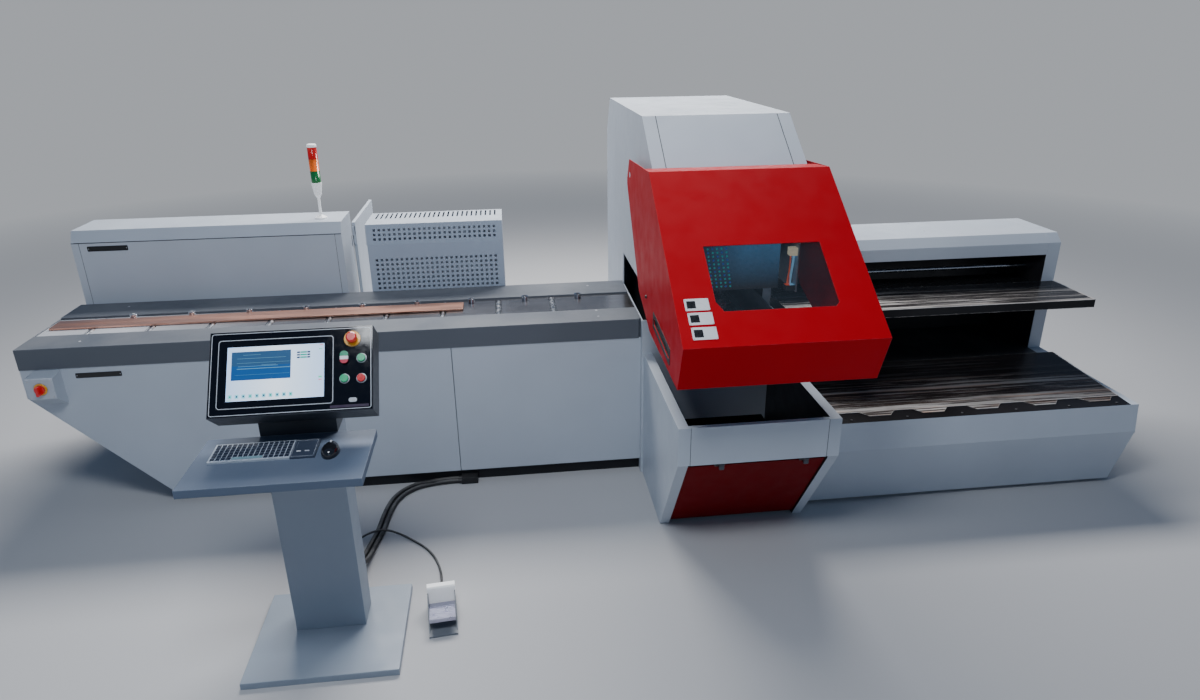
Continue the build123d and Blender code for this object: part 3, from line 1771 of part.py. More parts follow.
def keyboard():
    """Wedge-shaped body with rows of raised keys on the left and a touchpad on the right."""
    outline = [
        (keyboard_front, desk_height),
        (keyboard_front, desk_height + keyboard_height / 2),
        (keyboard_front + keyboard_depth, desk_height + keyboard_height),
        (keyboard_front + keyboard_depth, desk_height),
    ]
    body = along_x(outline, (keyboard_left, keyboard_left + keyboard_width))
    pad_right = keyboard_width - touchpad_margin
    pad_top = keyboard_depth - touchpad_margin
    pad = block(
        (pad_right - touchpad_width, pad_right),
        (pad_top - touchpad_depth, pad_top),
        (-touchpad_sink, touchpad_sink),
    )
    body -= keyboard_plane() * pad
    keys = [keyboard_plane() * key for key in key_blocks()]
    save("keyboard", body + keys)


def key_blocks():
    """Keys in the plane of the top; the row nearest the operator has the space bar."""
    bar_first, bar_last = space_bar_columns
    keys = []
    for row in range(key_rows):
        low = key_margin + key_row_pitch * row
        y = (low, low + key_row_pitch - key_gap)
        for column in range(key_columns):
            if row == 0 and bar_first < column <= bar_last:
                continue
            last = bar_last if row == 0 and column == bar_first else column
            left = key_margin + key_pitch * column
            right = key_margin + key_pitch * (last + 1) - key_gap
            keys.append(block((left, right), y, (0, key_height)))
    return keys


def mouse():
    """Rounded shell with an oval plan, a domed top and a wheel between the buttons."""
    centre = Pos(mouse_left + mouse_width / 2, mouse_front + mouse_length / 2, desk_height)
    plan = Ellipse(mouse_width / 2, mouse_length / 2)
    crown = Pos(0, 0, mouse_height) * Ellipse(mouse_width / 2 * mouse_crown, mouse_length / 2 * mouse_crown)
    wheel_x = (-wheel_width / 2, wheel_width / 2)
    wheel_y = mouse_length / 2 - wheel_place
    wheel = rod_x(wheel_x, wheel_y, wheel_height, wheel_radius)
    save("mouse", centre * (loft([plan, crown]) + wheel))


# Foot switch


def foot_frame():
    return Pos(foot_place[0], foot_place[1], 0) * Rot(0, 0, foot_turn)


def foot_switch_base():
    """Floor plate with two pierced cheeks, the pedal pin and the cable gland."""
    half = foot_width / 2
    back = foot_length / 2
    front = -foot_length / 2
    base = block((-half, half), (front, back), (0, foot_plate))
    hinge_y = foot_hood_front()
    cheek = [
        (front + cheek_front_gap, foot_plate),
        (hinge_y - cheek_top_run, cheek_height),
        (hinge_y, cheek_height),
        (hinge_y, foot_plate),
    ]
    opening = [
        (front + cheek_window_front, foot_plate + cheek_window_rise),
        (hinge_y - 2 * cheek_window_rear, cheek_height - cheek_window_top),
        (hinge_y - cheek_window_rear, cheek_height - cheek_window_top),
        (hinge_y - cheek_window_rear, foot_plate + cheek_window_rise),
    ]
    for x in (-half, half - cheek_thickness):
        base += along_x(cheek, (x, x + cheek_thickness))
        base -= along_x(opening, (x, x + cheek_thickness))
    base += rod_x((-half, half), pedal_pin_y(), pedal_axis_height, pedal_pin_radius)
    gland = (back, back + foot_gland_length)
    base += rod_y(0, gland, foot_gland_height, foot_gland_radius)
    across = (-foot_gland_radius, foot_gland_radius)
    base += block(across, (back - sheet, back), (foot_plate, foot_gland_height))
    save("foot_switch_base", foot_frame() * base)


def foot_hood_front():
    return foot_length / 2 - foot_hood_length + foot_hood_front_gap


def pedal_pin_y():
    return foot_length / 2 - foot_hood_length + pedal_axis_place


def foot_switch_hood():
    """White hood over the rear: a wide part and a lower, narrower cap behind it."""
    half = foot_width / 2
    back = foot_length / 2
    front = foot_hood_front()
    cap_front = back - foot_cap_length
    cap_low = foot_gland_height + foot_gland_radius + foot_cap_clearance
    wide = [
        (front, foot_plate),
        (front, foot_hood_height - foot_hood_edge),
        (front + foot_hood_edge, foot_hood_height),
        (cap_front - foot_hood_step, foot_hood_height),
        (cap_front, foot_hood_height - foot_hood_drop),
        (cap_front, foot_plate),
    ]
    cap = [
        (cap_front, cap_low),
        (cap_front, foot_cap_height),
        (back - foot_cap_run, foot_cap_height),
        (back, foot_cap_height - foot_cap_drop),
        (back, cap_low),
    ]
    hood = along_x(wide, (-half, half)) + along_x(cap, (-foot_cap_width / 2, foot_cap_width / 2))
    save("foot_switch_hood", foot_frame() * hood)


def foot_pedal():
    """Sloping ribbed tread with a turned-down front edge and a hinge tube at its rear."""
    half = foot_width / 2 - cheek_thickness - pedal_side_play
    tread = [
        (0, 0),
        (-pedal_length, 0),
        (-pedal_length, -pedal_lip),
        (-pedal_length - pedal_thickness, -pedal_lip),
        (-pedal_length - pedal_thickness, pedal_thickness),
        (0, pedal_thickness),
    ]
    pedal = along_x(tread, (-half, half))
    for index in range(pedal_rib_count):
        rib_rear = -pedal_rib_first - pedal_rib_pitch * index
        rib = (rib_rear - pedal_rib_width, rib_rear)
        pedal += block((-half, half), rib, (pedal_thickness, pedal_thickness + pedal_rib_height))
    pedal = pedal.rotate(Axis.X, -pedal_slope)
    pedal += rod_x((-half, half), 0, 0, pedal_pin_radius + pedal_tube_wall)
    pedal -= rod_x((-half, half), 0, 0, pedal_pin_radius + running_fit)
    save("foot_pedal", foot_frame() * Pos(0, pedal_pin_y(), pedal_axis_height) * pedal)


# Cables


def cable_glands():
    """Entry box on the plinth with the glands of the two supply cables."""
    front = infeed_front + plinth_recess
    x = (entry_box_left, entry_box_left + entry_box_width)
    box = block(x, (front - entry_box_depth, front), (0, entry_box_height))
    for route in (cable_left_route, cable_right_route):
        _, y, z = route[0]
        box += rod_x((entry_box_left - gland_length, entry_box_left), y, z, floor_gland_radius)
    save("cable_glands", box)


def cable(name, route, radius):
    tube, path = round_tube(route, radius)
    share = tube.volume / (math.pi * radius**2 * path.length)
    print(name, "bend radii", [round(bend) for bend in bend_radii(route)])
    print(name, "length", round(path.length), "volume share", round(share, 4))
    save(name, tube)


def foot_cable_end():
    """The last two points of the foot cable, in line with the foot switch's gland."""
    out = foot_length / 2 + foot_gland_length
    spots = []
    for reach in (out + foot_cable_lead, out):
        spot = (foot_frame() * Pos(0, reach, foot_gland_height)).position
        spots.append((spot.X, spot.Y, spot.Z))
    return tuple(spots)


def main():
    os.makedirs("parts", exist_ok=True)
    infeed_casing()
    infeed_front_panels()
    infeed_front_rail()
    infeed_rear_rail()
    trough_plates()
    guide_rollers()
    cross_rollers()
    infeed_plinth()
    copper_bar()
    isolator_box()
    isolator_knob()
    control_cabinet()
    cabinet_lid()
    cabinet_door("cabinet_door_left", -1, 0)
    cabinet_door("cabinet_door_right", 1, -1)
    drive_panel()
    stack_light()
    pump_housing()
    pump_grille()
    pump_unit()
    press_casing()
    press_frame()
    ram_cylinders()
    left, right = tool_places()[:2]
    punch_ram("punch_ram_left", left)
    punch_ram("punch_ram_right", right)
    shear_ram()
    die_set()
    tool_guard()
    air_hoses()
    hood_shell()
    hood_window()
    collector_box()
    scrap_door()
    scrap_bin()
    outfeed_base()
    outfeed_tray()
    outfeed_end_panels()
    outfeed_cover()
    outfeed_shelf()
    outfeed_flap()
    console_base()
    console_column()
    console_shelf()
    monitor_housing()
    monitor_screen()
    panel_buttons()
    keyboard()
    mouse()
    foot_switch_base()
    foot_switch_hood()
    foot_pedal()
    cable_glands()
    cable("cable_left", cable_left_route, cable_radius)
    cable("cable_right", cable_right_route, cable_radius)
    cable("foot_cable", foot_cable_route + foot_cable_end(), foot_cable_radius)


main()
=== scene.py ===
# %% [markdown]
# Busbar processing machine
#
# A long steel table feeds copper bars to a punching press under a red tilting hood, and a second
# table takes the finished pieces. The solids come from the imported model. Here they get their
# finish: powder coat, worn steel, copper, rubber, lamps and a lit screen. Everything is in metres,
# in the same frame as the model: X along the line, Y from the operator to the rear, Z up.

# %% Load the fixed model
import math
import bmesh
import bpy
from mathutils import Matrix, Vector


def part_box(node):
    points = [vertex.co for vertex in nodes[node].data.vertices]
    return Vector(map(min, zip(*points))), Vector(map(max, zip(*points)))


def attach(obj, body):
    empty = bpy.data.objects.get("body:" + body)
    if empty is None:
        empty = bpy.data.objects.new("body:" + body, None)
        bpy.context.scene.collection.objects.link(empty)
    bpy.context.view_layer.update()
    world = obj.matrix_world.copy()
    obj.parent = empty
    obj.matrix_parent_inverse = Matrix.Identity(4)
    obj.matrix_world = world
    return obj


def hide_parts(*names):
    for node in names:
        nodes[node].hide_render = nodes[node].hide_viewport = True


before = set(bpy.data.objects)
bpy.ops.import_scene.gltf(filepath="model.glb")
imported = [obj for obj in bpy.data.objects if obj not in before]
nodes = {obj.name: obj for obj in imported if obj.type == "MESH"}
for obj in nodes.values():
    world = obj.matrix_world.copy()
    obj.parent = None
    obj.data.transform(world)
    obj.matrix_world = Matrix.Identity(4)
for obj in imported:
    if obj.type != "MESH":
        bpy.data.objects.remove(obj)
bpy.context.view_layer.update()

MM = 0.001
ROOT = "machine"

# %% [markdown]
# The photograph was taken by somebody standing in front of the infeed table with the camera held
# well above head height. A wide lens sees all of the line from there. The place, the turn and the
# focal length are those that bring the corners of the machine to their places in the picture.

# %% Camera at the photograph's viewpoint
CAMERA_PLACE = (-0.403, -4.180, 2.400)
CAMERA_YAW = -6.707
CAMERA_PITCH = -21.743
CAMERA_ROLL = 0.64
SENSOR_WIDTH = 36.0
PICTURE_WIDTH = 1200
FOCAL_PIXELS = 798.6


def put_in_scene(name, data):
    """A new object with this data, linked to the scene."""
    made = bpy.data.objects.new(name, data)
    bpy.context.scene.collection.objects.link(made)
    return made


def photo_camera():
    data = bpy.data.cameras.new("photo_camera")
    data.sensor_width = SENSOR_WIDTH
    data.lens = FOCAL_PIXELS / PICTURE_WIDTH * SENSOR_WIDTH
    camera = put_in_scene("photo_camera", data)
    turn = Matrix.Rotation(math.radians(CAMERA_YAW), 4, "Z")
    tilt = Matrix.Rotation(math.radians(90 + CAMERA_PITCH), 4, "X")
    roll = Matrix.Rotation(math.radians(-CAMERA_ROLL), 4, "Z")
    camera.matrix_world = Matrix.Translation(CAMERA_PLACE) @ turn @ tilt @ roll
    bpy.context.scene.camera = camera
    return camera


camera = photo_camera()
print("camera", camera.name, "lens", round(camera.data.lens, 2))

# %% [markdown]
# Every finish is a small network of nodes. What several finishes share is built once, as a node group with
# named sockets: the slow drift of tone over a big sheet, the fine skin of powder coat, the bright line where
# paint wears off an edge and a painted highlight lies, the painted shade and dirt in a seam, the dust that
# settles on level faces and the long scratches that bars leave. The next cells hold the helpers that place
# nodes and join them.

# %% Helpers: place nodes and feed their sockets
def show_helpers(*helpers):
    """Prints the names of the helpers that a cell has defined."""
    print("helpers", ", ".join(helper.__name__ for helper in helpers))


def feed(tree, socket, value):
    """Links the output of another node to a socket, or sets a number, a vector or a colour on it."""
    if isinstance(value, bpy.types.NodeSocket):
        tree.links.new(value, socket)
    elif socket.type == "RGBA":
        socket.default_value = (*value, 1.0)
    else:
        socket.default_value = value


def fill(tree, holder, **values):
    """Feeds a node's inputs by their names, with an underscore for each blank."""
    for name, value in values.items():
        feed(tree, holder.inputs[name.replace("_", " ")], value)


def place_node(tree, kind, settings=None, **values):
    """Adds a node with its own settings and feeds its inputs."""
    made = tree.nodes.new(kind)
    for name, value in (settings or {}).items():
        setattr(made, name, value)
    fill(tree, made, **values)
    return made


show_helpers(feed, fill, place_node)

# %% Helpers: sums on values and vectors
def maths(tree, operation, *values, clamp=False):
    """One or two values through an operation; a third is joined to the result of the first two."""
    made = place_node(tree, "ShaderNodeMath", {"operation": operation, "use_clamp": clamp})
    for socket, value in zip(made.inputs, values[:2]):
        feed(tree, socket, value)
    if len(values) > 2:
        return maths(tree, operation, made.outputs[0], *values[2:], clamp=clamp)
    return made.outputs[0]


def product(tree, *values):
    return maths(tree, "MULTIPLY", *values)


def vector_maths(tree, operation, first, second):
    made = place_node(tree, "ShaderNodeVectorMath", {"operation": operation})
    feed(tree, made.inputs[0], first)
    feed(tree, made.inputs[1], second)
    return made.outputs


def span(tree, value, low, high, to_low=0.0, to_high=1.0):
    """Stretches a value from one range to another and holds it there."""
    ends = {"From_Min": low, "From_Max": high, "To_Min": to_low, "To_Max": to_high}
    return place_node(tree, "ShaderNodeMapRange", {"clamp": True}, Value=value, **ends).outputs["Result"]


def between(tree, value, low, high):
    """One where a value lies between two others, zero elsewhere."""
    return product(tree, maths(tree, "GREATER_THAN", value, low), maths(tree, "LESS_THAN", value, high))


def split(tree, vector):
    """The X, Y and Z of a vector."""
    return place_node(tree, "ShaderNodeSeparateXYZ", Vector=vector).outputs


show_helpers(maths, product, vector_maths, span, between, split)

# %% Helpers: colours, places and noise
MIX_FIRST, MIX_SECOND, MIX_RESULT = 6, 7, 2  # the colour sockets of a Mix node


def blend_colour(tree, share, first, second):
    made = place_node(tree, "ShaderNodeMix", {"data_type": "RGBA"}, Factor=share)
    feed(tree, made.inputs[MIX_FIRST], first)
    feed(tree, made.inputs[MIX_SECOND], second)
    return made.outputs[MIX_RESULT]


def toned(tree, colour, tone):
    """A colour made lighter or darker by a value around one."""
    made = place_node(tree, "ShaderNodeVectorMath", {"operation": "SCALE"}, Scale=tone)
    feed(tree, made.inputs[0], colour)
    return made.outputs["Vector"]


def object_place(tree):
    return tree.nodes.new("ShaderNodeTexCoord").outputs["Object"]


def surface_normal(tree, kind="Normal"):
    return tree.nodes.new("ShaderNodeNewGeometry").outputs[kind]


def stretched(tree, place, scale, turn=0.0):
    """Object coordinates scaled along each axis, to pull a noise into streaks."""
    rotation = (0.0, 0.0, math.radians(turn))
    made = place_node(tree, "ShaderNodeMapping", Scale=scale, Rotation=rotation, Vector=place)
    return made.outputs["Vector"]


def noise(tree, place, scale, detail, rough=0.5):
    """Cloudy noise; detail is the number of finer layers and rough is how strongly they show."""
    values = {"Vector": place, "Scale": scale, "Detail": detail, "Roughness": rough}
    return place_node(tree, "ShaderNodeTexNoise", **values).outputs["Fac"]


show_helpers(blend_colour, toned, object_place, surface_normal, stretched, noise)

# %% Helpers: make a group and use it
NUMBER = "NodeSocketFloat"


def new_effect(name, outputs, **inputs):
    """An empty node group whose sockets are numbers; its inputs come with their usual values."""
    group = bpy.data.node_groups.new(name, "ShaderNodeTree")
    for label, value in inputs.items():
        group.interface.new_socket(label, in_out="INPUT", socket_type=NUMBER).default_value = value
    for label in outputs:
        group.interface.new_socket(label, in_out="OUTPUT", socket_type=NUMBER)
    print("group", name)
    return group, group.nodes.new("NodeGroupInput").outputs, group.nodes.new("NodeGroupOutput")


def effect(tree, group, **values):
    return place_node(tree, "ShaderNodeGroup", {"node_tree": group}, **values).outputs


show_helpers(new_effect, effect)

# %% [markdown]
# Tone drift. No big painted sheet is one colour: the gun's passes, hands and cleaning leave it a
# little lighter here and darker there. A low noise gives that as a value around one, and a finer
# one gives the smudges that change the gloss.

# %% Group: tone drift
SMUDGE_FINENESS = 7.0
CLOUDS_SHOWN, SMUDGES_SHOWN = (0.3, 0.7), (0.35, 0.7)


def build_tone_drift():
    group, given, out = new_effect("tone_drift", ("Tone", "Smudge"), Scale=2.0, Amount=0.06)
    place = object_place(group)
    clouds = noise(group, place, given["Scale"], detail=3.0)
    smudges = noise(group, place, product(group, given["Scale"], SMUDGE_FINENESS), detail=4.0)
    low = maths(group, "SUBTRACT", 1.0, given["Amount"])
    high = maths(group, "ADD", 1.0, given["Amount"])
    tone = span(group, clouds, *CLOUDS_SHOWN, low, high)
    fill(group, out, Tone=tone, Smudge=span(group, smudges, *SMUDGES_SHOWN))
    return group


TONE_DRIFT = build_tone_drift()

# %% [markdown]
# Powder coat. The paint is baked powder, and its skin has a faint orange peel: soft dimples one to
# three millimetres wide. A smooth voronoi with a noise over it gives their height for a bump.

# %% Group: powder skin
SKIN_GRAIN = 420.0


def build_powder_skin():
    group, given, out = new_effect("powder_skin", ("Height",), Grain=SKIN_GRAIN)
    place = object_place(group)
    soft_cells = {"feature": "SMOOTH_F1"}
    dimples = place_node(
        group, "ShaderNodeTexVoronoi", soft_cells, Vector=place, Scale=given["Grain"], Smoothness=1.0
    )
    ripple = noise(group, place, given["Grain"], detail=2.0)
    fill(group, out, Height=product(group, maths(group, "ADD", dimples.outputs["Distance"], ripple), 0.5))
    return group


POWDER_SKIN = build_powder_skin()

# %% [markdown]
# Worn and lit edges. Paint thins where a sheet is folded and rubs off where hands and bars pass, and a
# rounded edge catches the light, so the light line here is partly wear and partly a painted highlight. The
# Bevel node gives the normal that a rounded edge would have; where it differs from the true one there is an
# edge, and a noise breaks the line up so that it isn't the same everywhere.

# %% Group: worn and lit edge
FLAT_TO_EDGE = (0.995, 0.88)  # how well the two normals agree
BREAKS_SHOWN = (0.3, 0.6)


def build_worn_and_lit_edge():
    group, given, out = new_effect("worn_and_lit_edge", ("Mask",), Radius=0.003, Breaks=30.0)
    rounded_off = place_node(group, "ShaderNodeBevel", {"samples": 4}, Radius=given["Radius"])
    meet = vector_maths(
        group, "DOT_PRODUCT", rounded_off.outputs["Normal"], surface_normal(group, "True Normal")
    )
    edge = span(group, meet["Value"], *FLAT_TO_EDGE)
    breaks = noise(group, object_place(group), given["Breaks"], detail=5.0)
    fill(group, out, Mask=product(group, edge, span(group, breaks, *BREAKS_SHOWN)))
    return group


WORN_AND_LIT_EDGE = build_worn_and_lit_edge()

# %% [markdown]
# Seams. Where two panels meet there is a narrow gap, which lies in shade and where dirt gathers, so its
# darkening is partly dirt and partly painted shade. The ambient occlusion node tells how closed in a point is
# within a few millimetres. It looks at the same piece only, so it finds the gap and nothing that merely
# stands near.

# %% Group: seam shade
SEAM_REACH = 0.008
CLOSED_TO_OPEN = (0.55, 0.92)


def build_seam_shade():
    group, given, out = new_effect("seam_shade", ("Mask",), Reach=SEAM_REACH)
    own_gaps = {"samples": 6, "only_local": True}
    closed = place_node(group, "ShaderNodeAmbientOcclusion", own_gaps, Distance=given["Reach"])
    fill(group, out, Mask=span(group, closed.outputs["AO"], *CLOSED_TO_OPEN, 1.0, 0.0))
    return group


SEAM_SHADE = build_seam_shade()

# %% [markdown]
# Dust. A workshop's dust lies on what faces up and leaves walls clean. The height of the normal
# says how level a face is, and two noises make the dust patchy with a few small specks.

# %% Group: settled dust
STEEP_TO_LEVEL = (0.55, 1.0)
PATCHES_SHOWN, SPECKS_SHOWN = (0.35, 0.75), (0.66, 0.72)
SPECK_SCALE, SPECK_SHARE = 260.0, 0.8


def build_settled_dust():
    group, given, out = new_effect("settled_dust", ("Mask",), Amount=0.3, Patch=5.0)
    level = span(group, split(group, surface_normal(group))["Z"], *STEEP_TO_LEVEL)
    place = object_place(group)
    patches = span(group, noise(group, place, given["Patch"], detail=6.0), *PATCHES_SHOWN)
    specks = span(group, noise(group, place, SPECK_SCALE, detail=1.0, rough=0.55), *SPECKS_SHOWN)
    lying = maths(group, "ADD", patches, product(group, specks, SPECK_SHARE), clamp=True)
    fill(group, out, Mask=product(group, lying, level, given["Amount"]))
    return group


SETTLED_DUST = build_settled_dust()

# %% [markdown]
# Long scratches. Bars are pushed along the line, so bare plates get scratches that run with X and
# stray a few degrees. A noise that is stretched a hundredfold along X becomes hair lines; three such
# layers, turned against each other, cross as real ones do.

# %% Group: long scratches
# turn in degrees, scale along each axis
SCRATCH_LAYERS = ((0.0, (1.4, 150.0, 40.0)), (3.5, (2.6, 260.0, 60.0)), (-6.0, (3.4, 190.0, 60.0)))


def build_long_scratches():
    group, given, out = new_effect("long_scratches", ("Mask", "Height"), Fineness=1.0, Low=0.55, High=0.62)
    place = toned(group, object_place(group), given["Fineness"])
    layers = []
    for turn, scale in SCRATCH_LAYERS:
        lines = noise(group, stretched(group, place, scale, turn), 1.0, detail=4.0, rough=0.6)
        layers.append(span(group, lines, given["Low"], given["High"]))
    marks = maths(group, "MAXIMUM", *layers)
    fill(group, out, Mask=marks, Height=maths(group, "SUBTRACT", 1.0, marks))
    return group


LONG_SCRATCHES = build_long_scratches()

# %% [markdown]
# A finish starts as one Principled shader. Nearly every one has the drift of tone in its colour and
# its smudges in the gloss, so one helper gives both. The bump is kept to fractions of a millimetre,
# because paint is a tenth of a millimetre thick and scratches less.

# %% Helpers: start a finish
finishes = {}


def start_finish(name):
    material = bpy.data.materials.new(name)
    material.use_nodes = True
    finishes[name] = material
    return material.node_tree, material.node_tree.nodes["Principled BSDF"]


def raise_bump(tree, shader, height, strength, depth):
    bump = place_node(tree, "ShaderNodeBump", Strength=strength, Distance=depth, Height=height)
    fill(tree, shader, Normal=bump.outputs["Normal"])


def drift(tree, scale, amount, smooth, dull):
    """The tone, a value around one, and the roughness, which the smudges move from smooth to dull."""
    drifted = effect(tree, TONE_DRIFT, Scale=scale, Amount=amount)
    return drifted["Tone"], span(tree, drifted["Smudge"], 0.0, 1.0, smooth, dull)


def rubbed_and_lit_edge(tree, share, **values):
    return product(tree, effect(tree, WORN_AND_LIT_EDGE, **values)["Mask"], share)


def shine(tree, shader, colour, strength):
    """One colour for the surface and for the light that it gives off."""
    fill(tree, shader, Base_Color=colour, Emission_Color=colour, Emission_Strength=strength)


show_helpers(start_finish, raise_bump, drift, rubbed_and_lit_edge, shine)

# %% [markdown]
# Powder coat covers most of the machine: pale grey covers, mid grey decks, the red hood, a dark red flap and
# black consoles. All are the same build with other colours, so one function makes them: drifted tone, dust on
# level faces, a thin light line on the edges that is partly worn paint and partly a painted highlight,
# painted shade and dirt in the seams, and the dimpled skin. Inside the outfeed and the collector the coat is
# dark, and a box tells where.

# %% Finish: powder coat
SEAM_SHADE_AND_DIRT = (0.008, 0.009, 0.010)
COAT_DUST = (0.60, 0.58, 0.55)
DUST_DULLS = 0.3


def powder_coat(name, colour, rough=0.42, dust=0.10, edge_wear_and_highlight=0.35, edge_wear_and_highlight_colour=(0.80, 0.81, 0.83), sheen=0.5,
                tone_drift=0.05, skin=0.25, dark_inside=None, dark_colour=(0.016, 0.017, 0.020)):
    """The coat. dark_inside is a box, as (axis, low, high) ranges in metres, that has dark_colour."""
    tree, shader = start_finish(name)
    tone, gloss = drift(tree, scale=1.6, amount=tone_drift, smooth=rough - 0.05, dull=rough + 0.08)
    coated = toned(tree, colour, tone)
    if dark_inside:
        axes = split(tree, object_place(tree))
        inside = product(tree, *(between(tree, axes[axis], low, high) for axis, low, high in dark_inside))
        coated = blend_colour(tree, inside, coated, dark_colour)
    dusty = effect(tree, SETTLED_DUST, Amount=dust, Patch=3.0)["Mask"]
    coated = blend_colour(tree, dusty, coated, COAT_DUST)
    # A light line on the edges: partly worn paint, partly a painted highlight.
    if edge_wear_and_highlight:
        coated = blend_colour(tree, rubbed_and_lit_edge(tree, edge_wear_and_highlight, Radius=0.003), coated, edge_wear_and_highlight_colour)
    # Painted shade and dirt: the gaps of the seams are darkened.
    coated = blend_colour(tree, effect(tree, SEAM_SHADE, Reach=SEAM_REACH)["Mask"], coated, SEAM_SHADE_AND_DIRT)
    dull = maths(tree, "ADD", gloss, product(tree, dusty, DUST_DULLS), clamp=True)
    fill(tree, shader, Base_Color=coated, Roughness=dull, Specular_IOR_Level=sheen)
    dimples = effect(tree, POWDER_SKIN, Grain=SKIN_GRAIN)["Height"]
    raise_bump(tree, shader, dimples, strength=skin, depth=0.0002)


show_helpers(powder_coat)

# %% The coats in their colours
PALE_GREY = (0.49, 0.54, 0.61)
OUTFEED_INSIDE = (("X", 1.06, 2.82), ("Y", -0.04, 0.585), ("Z", 0.50, 1.195))
COVER_INSIDE = (("X", 1.06, 2.82), ("Y", 0.1445, 0.585), ("Z", 0.50, 1.195))
COLLECTOR_INSIDE = (("X", 0.3625, 1.0285), ("Y", -1.0515, -0.156), ("Z", -0.001, 0.744))
SCRAP_DOOR_HINGE = (("X", 0.3, 1.1), ("Y", -1.06, -1.0345), ("Z", 0.505, 0.56))

COATS = {
    "pale_grey_coat": dict(colour=PALE_GREY),
    "grille_coat": dict(
        colour=(0.40, 0.47, 0.57), rough=0.46, dust=0.0, edge_wear_and_highlight=0.0, sheen=0.3, tone_drift=0.02, skin=0.05
    ),
    "outfeed_coat": dict(colour=PALE_GREY, dark_inside=OUTFEED_INSIDE),
    "cover_coat": dict(colour=PALE_GREY, dark_inside=COVER_INSIDE),
    "collector_coat": dict(colour=PALE_GREY, dark_inside=COLLECTOR_INSIDE),
    "mid_grey_coat": dict(colour=(0.105, 0.118, 0.142), rough=0.46, dust=0.12, edge_wear_and_highlight=0.5, sheen=0.3),
    "desk_grey_coat": dict(colour=(0.105, 0.140, 0.205), rough=0.48, dust=0.08, edge_wear_and_highlight=0.3, sheen=0.2),
    "hood_red_coat": dict(
        colour=(0.44, 0.001, 0.009), dust=0.0, edge_wear_and_highlight=0.3, edge_wear_and_highlight_colour=(0.75, 0.20, 0.20), sheen=0.06,
        tone_drift=0.04,
    ),
    "flap_red_coat": dict(
        colour=(0.15, 0.0008, 0.003), rough=0.44, dust=0.0, edge_wear_and_highlight=0.25, edge_wear_and_highlight_colour=(0.6, 0.12, 0.12),
        sheen=0.06, dark_inside=SCRAP_DOOR_HINGE, dark_colour=(0.09, 0.10, 0.115),
    ),
    "black_coat": dict(
        colour=(0.012, 0.013, 0.016), rough=0.40, dust=0.06, edge_wear_and_highlight=0.25, edge_wear_and_highlight_colour=(0.30, 0.31, 0.33),
        sheen=0.3,
    ),
    "column_grey_coat": dict(colour=(0.26, 0.31, 0.38)),
    "frame_grey_coat": dict(colour=(0.085, 0.095, 0.105), rough=0.45, dust=0.2),
}
for name, look in COATS.items():
    powder_coat(name, **look)
print("powder coats", sorted(COATS))

# %% [markdown]
# Bare steel. The roller bed and the tools are ground and oiled, so they are bright and a little streaked. The
# bed is paler at the feed end and darker along X towards the press.

# %% Finish: ground steel
PALE_FEED_END_SPAN = (-2.45, -1.55)
PALE_METALLIC = 0.25
LINE_BRIGHTER = 1.5


def ground_steel(name, colour, rough, lines=0.5, tone_drift=0.12, relief=0.3, smear=0.2, far_colour=None):
    """Ground steel. With a far colour it is pale at the feed end and changes to that along X."""
    tree, shader = start_finish(name)
    smooth, dull = rough - 0.4 * smear, rough + 0.6 * smear
    tone, gloss = drift(tree, scale=4.0, amount=tone_drift, smooth=smooth, dull=dull)
    marks = effect(tree, LONG_SCRATCHES, Fineness=1.5, Low=0.52, High=0.64)
    base, metallic = toned(tree, colour, tone), 1.0
    if far_colour:
        along = span(tree, split(tree, object_place(tree))["X"], *PALE_FEED_END_SPAN)
        base = blend_colour(tree, along, base, toned(tree, far_colour, tone))
        metallic = span(tree, along, 0.0, 1.0, PALE_METALLIC, 1.0)
    bright = tuple(min(1.0, part * LINE_BRIGHTER) for part in colour)
    lined = blend_colour(tree, product(tree, marks["Mask"], lines), base, bright)
    fill(tree, shader, Base_Color=lined, Metallic=metallic, Roughness=gloss)
    raise_bump(tree, shader, marks["Height"], strength=relief, depth=0.0001)


ground_steel("bed_steel", (0.60, 0.61, 0.64), 0.24, lines=0.25, tone_drift=0.10, relief=0.0, smear=0.02,
             far_colour=(0.25, 0.24, 0.25))
ground_steel("tool_steel", (0.50, 0.51, 0.53), 0.26)
ground_steel("roller_chrome", (0.78, 0.78, 0.80), 0.12, lines=0.1)
ground_steel("pedal_alloy", (0.40, 0.40, 0.50), 0.34)
print("steels up to", list(finishes)[-1])

# %% [markdown]
# The tray and the tipping plate are rolled sheet that finished bars slide over: dark scale with
# pale and coppery lines worn through it, thickest where the bars land. Three layers of stretched
# noise make the lines, and their crowding follows the place on the sheet, so no two are alike.

# %% Helpers: streaks and their sheet
SHEET_ABOVE = 0.002
# share, scale across X, where the noise starts and ends to show, scale along X, turn in degrees
STREAK_LAYERS = (
    (1.0, 26.0, (0.535, 0.565), 0.55, 0.0),
    (0.75, 75.0, (0.560, 0.590), 1.4, 2.0),
    (0.5, 200.0, (0.56, 0.61), 2.4, -1.5),
)


def streaks(tree, place):
    """Long broken lines along X: broad ones, narrower ones that cross them, and hairs."""
    layers = []
    for share, across, shown, along, turn in STREAK_LAYERS:
        lines = noise(tree, stretched(tree, place, (along, across, 1.0), turn), 1.0, detail=6.0, rough=0.68)
        layers.append(product(tree, span(tree, lines, *shown), share))
    return maths(tree, "MAXIMUM", *layers)


def sheet_mask(tree, axes, front, height, rise):
    """One on the sheet, zero on the sloping support below it."""
    slope = product(tree, maths(tree, "SUBTRACT", axes["Y"], front), rise)
    over = maths(tree, "SUBTRACT", axes["Z"], maths(tree, "ADD", slope, height))
    return maths(tree, "GREATER_THAN", over, SHEET_ABOVE)


show_helpers(streaks, sheet_mask)

